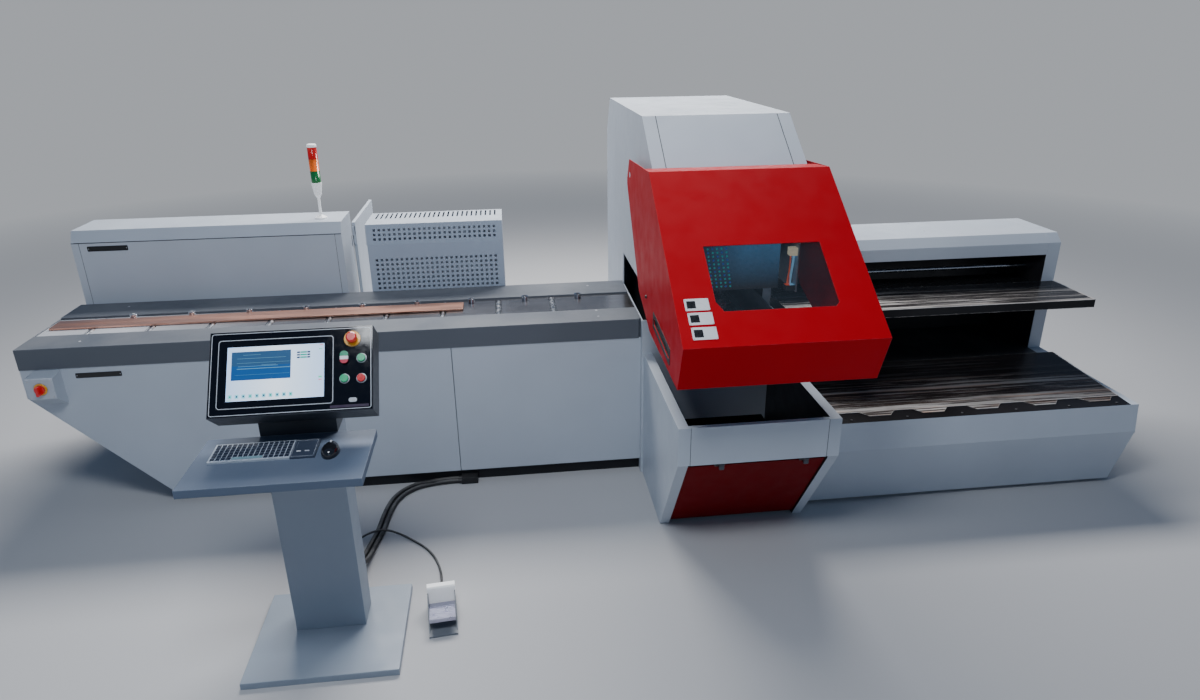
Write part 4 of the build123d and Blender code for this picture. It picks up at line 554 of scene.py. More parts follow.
# %% Finish: worn rolled sheet
STREAK_PALE = (0.74, 0.71, 0.68)
STREAK_COPPER = (0.60, 0.37, 0.26)
RUBBED_BROWN = (0.13, 0.085, 0.065)
CLUMPS_SHOWN, WARM_SHOWN = (0.34, 0.56), (0.48, 0.62)
FEWEST_ACROSS, FEWEST_ALONG, FEWEST_BETWEEN_CLUMPS = 0.06, 0.30, 0.35


def worn_sheet(name, scale_colour, crowded, fade, copper, rubbed_and_lit_lines, top=0.0, support=None):
    """Dark scale with streaks in a band of Y that thin out along X, and bright edges that are partly rubbed
    and partly a painted highlight.

    crowded and fade are (full, few) pairs in metres, copper is the share of coppery streaks, and
    rubbed_and_lit_lines are (axis, low, high) above the height top, bright from rub and a painted highlight.
    A support is a sloping face (front Y, front Z, rise) below the sheet that stays dark.
    """
    tree, shader = start_finish(name)
    place = object_place(tree)
    axes = split(tree, place)
    clouds = noise(tree, stretched(tree, place, (1.3, 7.0, 1.0)), 1.6, detail=3.0, rough=0.55)
    clumps = span(tree, clouds, *CLUMPS_SHOWN, FEWEST_BETWEEN_CLUMPS, 1.0)
    level = span(tree, split(tree, surface_normal(tree))["Z"], 0.5, 0.9)
    sheet = sheet_mask(tree, axes, *support) if support else 1.0
    crowd = span(tree, axes["Y"], *crowded, 1.0, FEWEST_ACROSS)
    thin_out = span(tree, axes["X"], *fade, 1.0, FEWEST_ALONG)
    near = product(tree, crowd, thin_out, clumps, level, sheet)
    worn = product(tree, streaks(tree, place), near)
    # Bright edge lines: partly rubbed by the bars, partly a painted highlight.
    for axis, low, high in rubbed_and_lit_lines:
        above = maths(tree, "GREATER_THAN", axes["Z"], top)
        line = product(tree, between(tree, axes[axis], low, high), above, sheet, clumps)
        worn = maths(tree, "MAXIMUM", worn, line)
    scale = toned(tree, scale_colour, effect(tree, TONE_DRIFT, Scale=3.0, Amount=0.30)["Tone"])
    rubbed = blend_colour(tree, product(tree, near, 0.5 * copper), scale, RUBBED_BROWN)
    warm = noise(tree, stretched(tree, place, (0.8, 26.0, 1.0)), 1.3, detail=2.0, rough=0.55)
    coppery = product(tree, span(tree, warm, *WARM_SHOWN), copper)
    streak = blend_colour(tree, coppery, STREAK_PALE, STREAK_COPPER)
    lined = blend_colour(tree, worn, rubbed, streak)
    # The rounded edges turn pale: partly wear, partly a painted highlight.
    fill(
        tree, shader,
        Base_Color=blend_colour(tree, rubbed_and_lit_edge(tree, sheet, Radius=0.006), lined, STREAK_PALE),
        Metallic=span(tree, worn, 0.0, 1.0, 0.10, 0.60),
        Roughness=span(tree, worn, 0.0, 1.0, 0.26, 0.42),
        Specular_IOR_Level=0.12,
    )
    raise_bump(tree, shader, maths(tree, "SUBTRACT", 1.0, worn), strength=0.25, depth=0.0002)


show_helpers(worn_sheet)

# %% The tray and the tipping plate
worn_sheet(
    "tray_sheet", (0.016, 0.015, 0.017), crowded=(-0.42, -0.27), fade=(1.7, 2.9), copper=0.9,
    rubbed_and_lit_lines=(("Y", -0.6515, -0.6410), ("Y", -0.6055, -0.6000), ("X", 2.8460, 2.8560)),
    support=(-0.704, 0.524, 0.0557),
)
worn_sheet(
    "flap_sheet", (0.020, 0.020, 0.022), crowded=(-0.10, 0.10), fade=(1.6, 3.1), copper=0.2,
    rubbed_and_lit_lines=(("Y", -0.2345, -0.2255), ("X", 2.8880, 2.8990)), top=0.9580,
)
print("worn sheets up to", list(finishes)[-1])

# %% [markdown]
# The shelf behind the tipping plate is black and carries a bright guide rod above its top face, so
# the height of a point tells the rod. The copper bar is drawn: it has fine lines along its length,
# is pink where it is fresh and browner where it has tarnished, and grows darker towards the press.

# %% Finishes: outfeed shelf and drawn copper
SHELF_ROD_LOW = 0.990
SHELF_BLACK, ROD_BRIGHT = (0.014, 0.015, 0.017), (0.62, 0.66, 0.72)
COPPER_DULLS = (-2.2, -0.9)
COPPER_FRESH, COPPER_TARNISHED = (0.90, 0.47, 0.34), (0.44, 0.20, 0.14)
COPPER_LINE = (0.95, 0.68, 0.58)
COPPER_LINE_SHARE = 0.4
TARNISH_SHOWN = (0.40, 0.66)


def shelf_finish():
    tree, shader = start_finish("shelf_black")
    rod = maths(tree, "GREATER_THAN", split(tree, object_place(tree))["Z"], SHELF_ROD_LOW)
    tone, gloss = drift(tree, scale=4.0, amount=0.2, smooth=0.16, dull=0.34)
    base = blend_colour(tree, rod, toned(tree, SHELF_BLACK, tone), ROD_BRIGHT)
    fill(tree, shader, Base_Color=base, Metallic=rod, Roughness=gloss)


def drawn_copper():
    tree, shader = start_finish("drawn_copper")
    place = object_place(tree)
    clouds = noise(tree, stretched(tree, place, (1.2, 9.0, 9.0)), 2.5, detail=5.0, rough=0.55)
    tarnish = span(tree, clouds, *TARNISH_SHOWN)
    bright = span(tree, split(tree, place)["X"], *COPPER_DULLS, 1.0, 0.50)
    fresh, dull = (toned(tree, colour, bright) for colour in (COPPER_FRESH, COPPER_TARNISHED))
    marks = effect(tree, LONG_SCRATCHES, Fineness=2.0, Low=0.52, High=0.66)
    share = product(tree, marks["Mask"], COPPER_LINE_SHARE, bright)
    lined = blend_colour(tree, share, blend_colour(tree, tarnish, fresh, dull), COPPER_LINE)
    fill(tree, shader, Base_Color=lined, Metallic=1.0, Roughness=span(tree, tarnish, 0.0, 1.0, 0.30, 0.48))
    raise_bump(tree, shader, marks["Height"], strength=0.25, depth=0.0001)


shelf_finish()
drawn_copper()
print("one-off metals", list(finishes)[-2:])

# %% [markdown]
# Plastics and rubber. Moulded pieces have a fine spark texture, or a clear gloss where they are caps and
# lenses. One function covers them; the colour, the gloss and the texture differ, and some get a painted glow
# of their own colour, so that they read brighter than the lamps light them.

# %% Finish: mouldings and rubber
MOULDING_DUST = (0.5, 0.49, 0.47)


def moulded(name, colour, rough, texture=900.0, depth=0.0001, coat=0.0, glow=0.0, dust=0.08):
    tree, shader = start_finish(name)
    tone, gloss = drift(tree, scale=9.0, amount=0.06, smooth=max(0.02, rough - 0.05), dull=rough + 0.07)
    dusty = effect(tree, SETTLED_DUST, Amount=dust, Patch=12.0)["Mask"]
    base = blend_colour(tree, dusty, toned(tree, colour, tone), MOULDING_DUST)
    fill(tree, shader, Base_Color=base, Roughness=gloss, Coat_Weight=coat)
    if glow:
        fill(tree, shader, Emission_Color=colour, Emission_Strength=glow)
    grains = noise(tree, object_place(tree), texture, detail=2.0, rough=0.55)
    raise_bump(tree, shader, grains, strength=0.3, depth=depth)


moulded("black_moulding", (0.014, 0.014, 0.016), 0.45)
moulded("grey_moulding", (0.16, 0.18, 0.21), 0.42)
# Painted glow: the white mouldings and the red and green caps give off a little of their own colour.
moulded("white_moulding_painted_glow", (0.84, 0.85, 0.86), 0.38, glow=0.28, dust=0.02)
moulded("red_cap_painted_glow", (0.62, 0.008, 0.012), 0.22, coat=0.5, glow=0.08, dust=0.02)
moulded("green_cap_painted_glow", (0.01, 0.36, 0.16), 0.22, coat=0.5, glow=0.25, dust=0.02)
moulded("yellow_ring", (0.85, 0.42, 0.01), 0.30, coat=0.3, dust=0.02)
moulded("cable_rubber", (0.016, 0.016, 0.018), 0.50, texture=400.0, dust=0.35)
print("finishes so far", len(finishes))

# %% [markdown]
# Some nodes carry two finishes in one moulding: the display glass sits in a black frame, the keys
# stand on a silver deck, and the twin button has a green, a white and a red band. A mask tells them
# apart. It comes from the place of a point, measured from a known corner along a known direction,
# so it follows the piece when the piece moves.

# %% Helpers: measured masks
RIGHTWARDS = Vector((1.0, 0.0, 0.0))


def reach(tree, origin, direction):
    """How far a point lies from an origin along a direction, in metres."""
    offset = vector_maths(tree, "SUBTRACT", object_place(tree), origin)["Vector"]
    return vector_maths(tree, "DOT_PRODUCT", offset, direction)["Value"]


def box_mask(tree, across, up, box):
    """One inside a box of (left, right, low, high) millimetres, zero outside."""
    left, right, low, high = (side * MM for side in box)
    return product(tree, between(tree, across, left, right), between(tree, up, low, high))


show_helpers(reach, box_mask)

# %% The monitor's face: where it is and how it leans
PANEL_PLACE = (-1219.0, -1347.0, 1246.0)
PANEL_CENTRE = Vector(PANEL_PLACE) * MM
PANEL_TILT = math.radians(37.7)
PANEL_UP = Vector((0.0, math.sin(PANEL_TILT), math.cos(PANEL_TILT)))
PANEL_OUT = RIGHTWARDS.cross(PANEL_UP)
GLASS = (-229.0, 118.0, -104.0, 101.0)  # left, right, low, high on the face
print("panel looks towards", [round(part, 3) for part in PANEL_OUT])

# %% [markdown]
# The monitor's housing is satin black sheet with a polished black front. Which of the two a point
# has is read from its normal. The display glows nearly white and a little bluer at its edges.

# %% Finish: monitor housing and display
POLISHED_BLACK, SATIN_BLACK = (0.004, 0.005, 0.009), (0.040, 0.046, 0.056)
HOUSING_EDGE_WEAR_AND_HIGHLIGHT = (0.30, 0.32, 0.36)
SCREEN_MIDDLE, SCREEN_EDGE = (0.80, 0.90, 1.0), (0.50, 0.68, 0.95)
UNLIT = (0.0, 0.0, 0.0)
SATIN_DULLS = 0.32


def monitor_finish():
    tree, shader = start_finish("monitor_black")
    facing = vector_maths(tree, "DOT_PRODUCT", surface_normal(tree), PANEL_OUT)["Value"]
    front = span(tree, facing, 0.93, 0.97)
    tone, smear = drift(tree, scale=7.0, amount=0.15, smooth=0.05, dull=0.11)
    base = blend_colour(tree, front, toned(tree, SATIN_BLACK, tone), POLISHED_BLACK)
    # The housing's edges get a light line that is partly wear and partly a painted highlight.
    edged = blend_colour(tree, rubbed_and_lit_edge(tree, 0.5, Radius=0.0025), base, HOUSING_EDGE_WEAR_AND_HIGHLIGHT)
    satin = product(tree, maths(tree, "SUBTRACT", 1.0, front), SATIN_DULLS)
    gloss = maths(tree, "ADD", smear, satin)
    fill(tree, shader, Base_Color=edged, Roughness=gloss, Specular_IOR_Level=0.35)


def screen_finish():
    tree, shader = start_finish("lit_screen")
    across, up = (reach(tree, PANEL_CENTRE, way) for way in (RIGHTWARDS, PANEL_UP))
    lit = box_mask(tree, across, up, GLASS)
    left, right = GLASS[0] * MM, GLASS[1] * MM
    middle = maths(tree, "ABSOLUTE", maths(tree, "SUBTRACT", across, (left + right) / 2))
    white = blend_colour(tree, span(tree, middle, 0.0, (right - left) / 2), SCREEN_MIDDLE, SCREEN_EDGE)
    gloss = drift(tree, scale=9.0, amount=0.05, smooth=0.06, dull=0.14)[1]
    fill(
        tree, shader,
        Base_Color=blend_colour(tree, lit, POLISHED_BLACK, white),
        Emission_Color=blend_colour(tree, lit, UNLIT, white),
        Emission_Strength=0.85,
        Roughness=gloss,
        Specular_IOR_Level=0.35,
    )


monitor_finish()
screen_finish()
print("monitor finishes", list(finishes)[-2:])

# %% [markdown]
# The keyboard's deck is silver, its keys are nearly black with a blue tint and stand proud of it. The height
# over the sloping deck tells the keys; the space bar has its own box, where a pale teal is a painted
# highlight. The key edges get a light line that is partly rub and partly a painted highlight. The right end,
# where the touchpad is, is one dark field.

# %% Finish: keyboard
DECK_PLACE = (-1519.0, -1508.0, 973.0)
DECK_CORNER = Vector(DECK_PLACE) * MM
DECK_UP = Vector((0.0, 122.0, 8.0)).normalized()
DECK_OUT = RIGHTWARDS.cross(DECK_UP)
KEY_FIELD_RIGHT = 288.0
KEY_TOP = 1.5
SPACE_BAR = (80.0, 192.0, 4.0, 25.0)
DECK_SILVER, PAD_DARK = (0.42, 0.47, 0.54), (0.045, 0.060, 0.095)
KEY_DARK, SPACE_BAR_HIGHLIGHT, KEY_RUB_AND_HIGHLIGHT = (0.018, 0.026, 0.050), (0.20, 0.34, 0.40), (0.55, 0.62, 0.72)


def keyboard_finish():
    tree, shader = start_finish("keyboard_deck")
    across, up, height = (reach(tree, DECK_CORNER, way) for way in (RIGHTWARDS, DECK_UP, DECK_OUT))
    tone, gloss = drift(tree, scale=14.0, amount=0.10, smooth=0.28, dull=0.40)
    field = maths(tree, "GREATER_THAN", across, KEY_FIELD_RIGHT * MM)
    key = maths(tree, "GREATER_THAN", height, KEY_TOP * MM)
    bar = product(tree, key, box_mask(tree, across, up, SPACE_BAR))
    rub = rubbed_and_lit_edge(tree, 0.55, Radius=0.0012, Breaks=90.0)
    base = toned(tree, DECK_SILVER, tone)
    # The space bar's teal is a painted highlight; the light key edges are rub and painted highlight.
    for mask, colour in ((field, PAD_DARK), (key, KEY_DARK), (bar, SPACE_BAR_HIGHLIGHT), (rub, KEY_RUB_AND_HIGHLIGHT)):
        base = blend_colour(tree, mask, base, colour)
    fill(tree, shader, Base_Color=base, Roughness=gloss)
    grains = noise(tree, object_place(tree), 1200.0, detail=2.0, rough=0.55)
    raise_bump(tree, shader, grains, strength=0.25, depth=0.0001)


keyboard_finish()
print("keyboard corner", [round(part, 3) for part in DECK_CORNER])

# %% [markdown]
# The twin button is one rocker: a green half above, a white lamp in the middle and a red half below. The
# bands are measured up the face from the button's centre. The hose set is one node too: a cream terminal box
# on top, a red hose on the left, a pale blue one on the right and a black anchor below. The guard behind the
# window is dark at the left, and to the right, where light falls in, a painted pool of blue light lies on it.
# Both stand in the dark tool bay and are given a painted glow of their own colour.

# %% Finishes: twin button, hose set and tool guard
TWIN_RIGHT, TWIN_UP = 190.7, 40.2
TWIN_CENTRE = PANEL_CENTRE + RIGHTWARDS * TWIN_RIGHT * MM + PANEL_UP * TWIN_UP * MM
LAMP_TOP, LAMP_LOW = 4.0, -9.0
TWIN_GREEN, TWIN_LAMP, TWIN_RED = (0.01, 0.30, 0.15), (0.85, 0.87, 0.88), (0.55, 0.02, 0.06)
TERMINAL_LOW, ANCHOR_HIGH, HOSE_SPLIT = 1.330, 1.174, 1.035
HOSE_RED, HOSE_BLUE = (0.62, 0.10, 0.035), (0.22, 0.50, 0.74)
TERMINAL_CREAM, ANCHOR_BLACK = (0.72, 0.66, 0.48), (0.012, 0.012, 0.014)
GUARD_DARK, GUARD_PAINTED_LIGHT = (0.012, 0.015, 0.022), (0.08, 0.26, 0.50)
GUARD_LIT_X, GUARD_LIT_Z = (0.54, 0.80), (1.16, 1.42)


def twin_finish():
    tree, shader = start_finish("twin_bands")
    up = reach(tree, TWIN_CENTRE, PANEL_UP)
    tone, gloss = drift(tree, scale=40.0, amount=0.12, smooth=0.16, dull=0.26)
    base = toned(tree, TWIN_GREEN, tone)
    for top, colour in ((LAMP_TOP, TWIN_LAMP), (LAMP_LOW, TWIN_RED)):
        base = blend_colour(tree, maths(tree, "LESS_THAN", up, top * MM), base, colour)
    fill(tree, shader, Base_Color=base, Roughness=gloss, Coat_Weight=0.4)


def hose_finish():
    tree, shader = start_finish("hose_set_painted_glow")
    axes = split(tree, object_place(tree))
    tone, gloss = drift(tree, scale=30.0, amount=0.10, smooth=0.26, dull=0.38)
    base = toned(tree, HOSE_RED, tone)
    for test, axis, limit, colour in (
        ("GREATER_THAN", "X", HOSE_SPLIT, HOSE_BLUE),
        ("GREATER_THAN", "Z", TERMINAL_LOW, TERMINAL_CREAM),
        ("LESS_THAN", "Z", ANCHOR_HIGH, ANCHOR_BLACK),
    ):
        base = blend_colour(tree, maths(tree, test, axes[axis], limit), base, colour)
    # Painted glow: the hose set gives off a little of its colour.
    shine(tree, shader, base, strength=0.5)
    fill(tree, shader, Roughness=gloss)


def guard_finish():
    tree, shader = start_finish("guard_painted_light")
    axes = split(tree, object_place(tree))
    tone, gloss = drift(tree, scale=7.0, amount=0.25, smooth=0.24, dull=0.40)
    lit = product(tree, span(tree, axes["X"], *GUARD_LIT_X), span(tree, axes["Z"], *GUARD_LIT_Z))
    # Painted light: a pool of blue light to the right, which also glows.
    shine(tree, shader, blend_colour(tree, lit, toned(tree, GUARD_DARK, tone), GUARD_PAINTED_LIGHT), strength=0.45)
    fill(tree, shader, Roughness=gloss)


twin_finish()
hose_finish()
guard_finish()
print("finishes with masks", list(finishes)[-3:])

# %% [markdown]
# The rest of the finishes are one-offs. The signal tower has three lenses in one node, so their
# colours go by height, and fine ribs run round them. The window is a clear tinted sheet: a plain
# shader with a low alpha, a hard gloss and a clear coat, so that what is behind it stays visible.

# %% Finishes: signal tower lenses and tinted window
LENS_LOW, LENS_HIGH = (corner[2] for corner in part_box("stack_light_lenses"))
LENS_SPLITS = [LENS_LOW + (LENS_HIGH - LENS_LOW) * share for share in (1 / 3, 2 / 3)]
LENS_GREEN, LENS_ORANGE, LENS_RED = (0.01, 0.16, 0.04), (0.75, 0.13, 0.01), (0.62, 0.008, 0.006)
LENS_RIBS = 900.0
WINDOW_TINT = (0.035, 0.045, 0.055)


def lens_finish():
    tree, shader = start_finish("tower_lens")
    height = split(tree, object_place(tree))["Z"]
    colour = LENS_GREEN
    for low, upper in zip(LENS_SPLITS, (LENS_ORANGE, LENS_RED)):
        colour = blend_colour(tree, maths(tree, "GREATER_THAN", height, low), colour, upper)
    shine(tree, shader, colour, strength=0.12)
    gloss = drift(tree, scale=30.0, amount=0.1, smooth=0.12, dull=0.22)[1]
    fill(tree, shader, Roughness=gloss, Coat_Weight=0.5)
    ribs = maths(tree, "SINE", product(tree, height, LENS_RIBS))
    raise_bump(tree, shader, ribs, strength=0.4, depth=0.0006)


def window_finish():
    tree, shader = start_finish("tinted_pane")
    drifted = effect(tree, TONE_DRIFT, Scale=6.0, Amount=0.2)
    fill(
        tree, shader,
        Base_Color=toned(tree, WINDOW_TINT, drifted["Tone"]),
        Roughness=span(tree, drifted["Smudge"], 0.0, 1.0, 0.03, 0.10),
        Alpha=span(tree, drifted["Smudge"], 0.0, 1.0, 0.20, 0.27),
        Specular_IOR_Level=0.6,
        Coat_Weight=0.3,
    )


lens_finish()
window_finish()
print("finishes", len(finishes), "lenses change at", [round(height, 3) for height in LENS_SPLITS])

# %% [markdown]
# Now each node of the model gets its finish. Its object has one material slot, named after the
# record's slot; the finish is put into it. Nothing of the mesh is touched.

# %% Dress the nodes
DRESS = {
    "pale_grey_coat": (
        "infeed_casing", "infeed_front_panels", "isolator_box", "control_cabinet", "cabinet_lid",
        "cabinet_door_left", "cabinet_door_right", "pump_housing", "press_casing",
    ),
    "grille_coat": ("pump_grille",),
    "collector_coat": ("collector_box",),
    "outfeed_coat": ("outfeed_base",),
    "cover_coat": ("outfeed_end_panels", "outfeed_cover"),
    "column_grey_coat": ("console_base", "console_column"),
    "mid_grey_coat": ("infeed_front_rail", "infeed_rear_rail"),
    "desk_grey_coat": ("console_shelf",),
    "frame_grey_coat": ("press_frame", "pump_unit"),
    "hood_red_coat": ("hood_shell",),
    "flap_red_coat": ("scrap_door",),
    "black_coat": ("infeed_plinth",),
    "guard_painted_light": ("tool_guard",),
    "monitor_black": ("monitor_housing",),
    "bed_steel": ("trough_plates",),
    "tool_steel": (
        "ram_cylinders", "punch_ram_left", "punch_ram_right", "shear_ram", "die_set", "cross_rollers",
    ),
    "roller_chrome": ("guide_rollers",),
    "drawn_copper": ("copper_bar",),
    "tray_sheet": ("outfeed_tray", "scrap_bin"),
    "flap_sheet": ("outfeed_flap",),
    "shelf_black": ("outfeed_shelf",),
    "red_cap_painted_glow": ("isolator_knob", "estop_button", "red_button"),
    "green_cap_painted_glow": ("green_button_upper", "green_button_lower"),
    "white_moulding_painted_glow": ("stack_light_pole", "foot_switch_hood"),
    "twin_bands": ("twin_button",),
    "hose_set_painted_glow": ("air_hoses",),
    "tower_lens": ("stack_light_lenses",),
    "tinted_pane": ("hood_window",),
    "lit_screen": ("monitor_screen",),
    "keyboard_deck": ("keyboard",),
    "grey_moulding": ("foot_switch_base", "drive_panel"),
    "pedal_alloy": ("foot_pedal",),
    "black_moulding": ("cable_glands",),
}
undressed = set(nodes)
for finish, dressed in DRESS.items():
    undressed -= set(dressed)
    for node in dressed:
        for holder in nodes[node].material_slots:
            holder.material = finishes[finish]
print("not dressed, because other pieces stand for them:", sorted(undressed))

# %% [markdown]
# Sheet metal has no knife edges: a press brake leaves a small radius, and powder coat rounds it
# further. A Bevel modifier cuts that radius on every edge sharper than the limit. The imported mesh
# comes as loose triangles, so a small geometry group first welds them and a Decimate modifier joins
# the coplanar ones into whole faces; the bevel then follows real edges only. Weighted Normal keeps
# the big faces flat to the light. The outfeed's front has a shallow fold, which needs a lower limit
# to stay a crisp line.

# %% How round the edges get
WELD_DISTANCE = 0.00001
COPLANAR = math.radians(0.6)
EDGE_LIMIT = math.radians(28)
SHALLOW_FOLDS = {"outfeed_base": math.radians(20)}
EDGE_RADIUS = {"sheet": 1.4, "small": 0.5}  # in millimetres
LEFT_SHARP = {"pump_grille", "hood_window", "monitor_screen", "cable_left", "cable_right", "foot_cable"}
SMALL_PIECES = {
    "keyboard", "mouse", "foot_switch_base", "foot_switch_hood", "foot_pedal", "estop_button",
    "twin_button", "green_button_upper", "green_button_lower", "red_button", "isolator_knob",
    "cable_glands", "guide_rollers", "stack_light_pole", "stack_light_lenses", "air_hoses",
    "drive_panel", "die_set", "copper_bar", "cross_rollers", "trough_plates",
}
print("small pieces", len(SMALL_PIECES), "left sharp", len(LEFT_SHARP))

# %% Soften the edges of the nodes
def weld_group():
    group = bpy.data.node_groups.new("weld_and_smooth", "GeometryNodeTree")
    for way in ("INPUT", "OUTPUT"):
        group.interface.new_socket("Geometry", in_out=way, socket_type="NodeSocketGeometry")
    given, out = group.nodes.new("NodeGroupInput"), group.nodes.new("NodeGroupOutput")
    weld = place_node(group, "GeometryNodeMergeByDistance", Geometry=given.outputs[0], Distance=WELD_DISTANCE)
    smooth = place_node(group, "GeometryNodeSetShadeSmooth", Geometry=weld.outputs["Geometry"])
    fill(group, out, Geometry=smooth.outputs["Geometry"])
    return group


def round_edges(piece, radius, limit=EDGE_LIMIT):
    """A small radius, in millimetres, on the edges sharper than the limit."""
    edge = piece.modifiers.new("edge_radius", "BEVEL")
    edge.width = radius * MM
    edge.segments = 2
    edge.limit_method = "ANGLE"
    edge.angle_limit = limit
    edge.harden_normals = True
    piece.modifiers.new("flat_faces", "WEIGHTED_NORMAL").keep_sharp = False


def soften(name, piece):
    piece.modifiers.new("weld", "NODES").node_group = WELD
    whole = piece.modifiers.new("whole_faces", "DECIMATE")
    whole.decimate_type = "DISSOLVE"
    whole.angle_limit = COPLANAR
    radius = EDGE_RADIUS["small" if name in SMALL_PIECES else "sheet"]
    round_edges(piece, radius, SHALLOW_FOLDS.get(name, EDGE_LIMIT))


WELD = weld_group()
for name, piece in nodes.items():
    if name not in LEFT_SHARP:
        soften(name, piece)
print("softened", len(nodes) - len(LEFT_SHARP))

# %% [markdown]
# Three cables lie on the floor between the infeed table and the operator's column: two thick
# supply cables side by side and the thin cable of the foot switch. Each is one NURBS curve with a
# round bevel. Its control points are the points of the model's own route, so the curve lies where
# the cable lies, and the spline rounds the corners by itself.

# %% Cable routes, in metres
CABLE_DIAMETER = 0.025
FOOT_CABLE_DIAMETER = 0.011

LEFT_ROUTE = (
    (-0.753, -0.104, 0.016),
    (-0.805, -0.104, 0.016),
    (-0.895, -0.110, 0.0126),
    (-1.015, -0.141, 0.0126),
    (-1.100, -0.247, 0.0126),
    (-1.131, -0.397, 0.0126),
    (-1.143, -0.575, 0.0126),
    (-1.168, -0.700, 0.0126),
    (-1.183, -0.815, 0.022),
    (-1.193, -0.905, 0.060),
    (-1.202, -0.985, 0.112),
    (-1.207, -1.060, 0.150),
    (-1.207, -1.134, 0.150),
)
RIGHT_ROUTE = (
    (-0.753, -0.132, 0.016),
    (-0.805, -0.132, 0.016),
    (-0.885, -0.138, 0.0126),
    (-0.990, -0.170, 0.0126),
    (-1.069, -0.260, 0.0126),
    (-1.102, -0.402, 0.0126),
    (-1.115, -0.578, 0.0126),
    (-1.140, -0.698, 0.0126),
    (-1.153, -0.812, 0.022),
    (-1.162, -0.905, 0.060),
    (-1.168, -0.985, 0.112),
    (-1.170, -1.060, 0.150),
    (-1.170, -1.134, 0.150),
)
FOOT_ROUTE = (
    (-1.240, -1.134, 0.100),
    (-1.240, -1.084, 0.100),
    (-1.252, -1.012, 0.074),
    (-1.272, -0.925, 0.032),
    (-1.293, -0.835, 0.0056),
    (-1.283, -0.750, 0.0056),
    (-1.245, -0.680, 0.022),
    (-1.185, -0.632, 0.044),
    (-1.100, -0.608, 0.044),
    (-1.016, -0.632, 0.018),
    (-0.952, -0.678, 0.0056),
    (-0.888, -0.745, 0.0056),
    (-0.842, -0.820, 0.0056),
    (-0.812, -0.905, 0.0056),
    (-0.796, -0.985, 0.012),
    (-0.79091, -1.05728, 0.024),
    (-0.78612, -1.11207, 0.024),
)
print("points on the routes", [len(route) for route in (LEFT_ROUTE, RIGHT_ROUTE, FOOT_ROUTE)])

# %% Lay the three cables
def cable_curve(name, route, diameter):
    data = bpy.data.curves.new(name, "CURVE")
    data.dimensions = "3D"
    spline = data.splines.new("NURBS")
    spline.points.add(len(route) - 1)
    for point, place in zip(spline.points, route):
        point.co = (*place, 1.0)
        point.radius = diameter / 2
    spline.order_u = 3
    spline.use_endpoint_u = True
    spline.resolution_u = 12
    data.bevel_depth = 1.0  # times the radius of each point
    data.bevel_resolution = 6
    data.use_fill_caps = True
    return put_in_scene(name, data)


def lay_cable(name, node, route, diameter):
    cable = cable_curve(name, route, diameter)
    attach(cable, ROOT)
    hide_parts(node)
    cable.data.materials.append(finishes["cable_rubber"])
    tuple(route[0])
    return cable


cables = [
    lay_cable("supply_cable_left", "cable_left", LEFT_ROUTE, CABLE_DIAMETER),
    lay_cable("supply_cable_right", "cable_right", RIGHT_ROUTE, CABLE_DIAMETER),
    lay_cable("foot_switch_cable", "foot_cable", FOOT_ROUTE, FOOT_CABLE_DIAMETER),
]
print("cables", [cable.name for cable in cables])

# %% [markdown]
# Small trim is built in mesh code. Three helpers make nearly all of it: a prism pushes a flat
# outline out of a plane, a band does the same between two outlines, and a turned piece sweeps a
# profile round an axis. Outlines are drawn flat in millimetres in a local frame, and the frame sets
# them in place. A trim piece rides on the body that carries it.

# %% Helpers: local frames and outlines
BACKWARDS, UPWARDS = (0.0, 1.0, 0.0), (0.0, 0.0, 1.0)


def frame_of(origin, across, up):
    """A local frame: origin in millimetres, X across, Y up the face and Z out of it."""
    x, y = Vector(across).normalized(), Vector(up).normalized()
    turn = Matrix((x, y, x.cross(y))).transposed().to_4x4()
    return Matrix.Translation(Vector(origin) * MM) @ turn


def front_frame(place):
    """A frame on a wall that looks towards the operator."""
    return frame_of(place, RIGHTWARDS, UPWARDS)


def shifted(at, x, y, z=0.0):
    return at @ Matrix.Translation((x * MM, y * MM, z * MM))


def point(mesh, at, x, y, z):
    return mesh.verts.new(at @ Vector((x * MM, y * MM, z * MM)))


def rounded(half_x, half_y, corner, centre=(0.0, 0.0), steps=4):
    """Outline of a rectangle with round corners, anticlockwise."""
    outline = []
    for quarter, (side_x, side_y) in enumerate(((1, -1), (1, 1), (-1, 1), (-1, -1))):
        for step in range(steps + 1):
            angle = math.radians(90 * (quarter - 1 + step / steps))
            x = centre[0] + side_x * (half_x - corner) + corner * math.cos(angle)
            y = centre[1] + side_y * (half_y - corner) + corner * math.sin(angle)
            outline.append((x, y))
    return outline


def around(steps):
    """The angles of a full turn in equal steps."""
    return [math.tau * step / steps for step in range(steps)]


show_helpers(frame_of, front_frame, shifted, point, rounded, around)

# %% Helpers: prisms, bands and turned pieces
def close_strip(mesh, first, second, index=0):
    for here in range(len(first)):
        there = (here + 1) % len(first)
        face = mesh.faces.new((first[here], first[there], second[there], second[here]))
        face.material_index = index


def close_ends(mesh, first, last, index=0):
    for loop in (first[::-1], last):
        mesh.faces.new(loop).material_index = index


def prism(mesh, at, outline, depth, index=0, base=0.0):
    low, high = ([point(mesh, at, x, y, z) for x, y in outline] for z in (base, base + depth))
    close_strip(mesh, low, high, index)
    close_ends(mesh, low, high, index)


def band(mesh, at, outer, inner, depth, index=0, base=0.0):
    levels = ((outer, base), (outer, base + depth), (inner, base + depth), (inner, base))
    loops = [[point(mesh, at, x, y, z) for x, y in outline] for outline, z in levels]
    for first, second in zip(loops, loops[1:] + loops[:1]):
        close_strip(mesh, first, second, index)


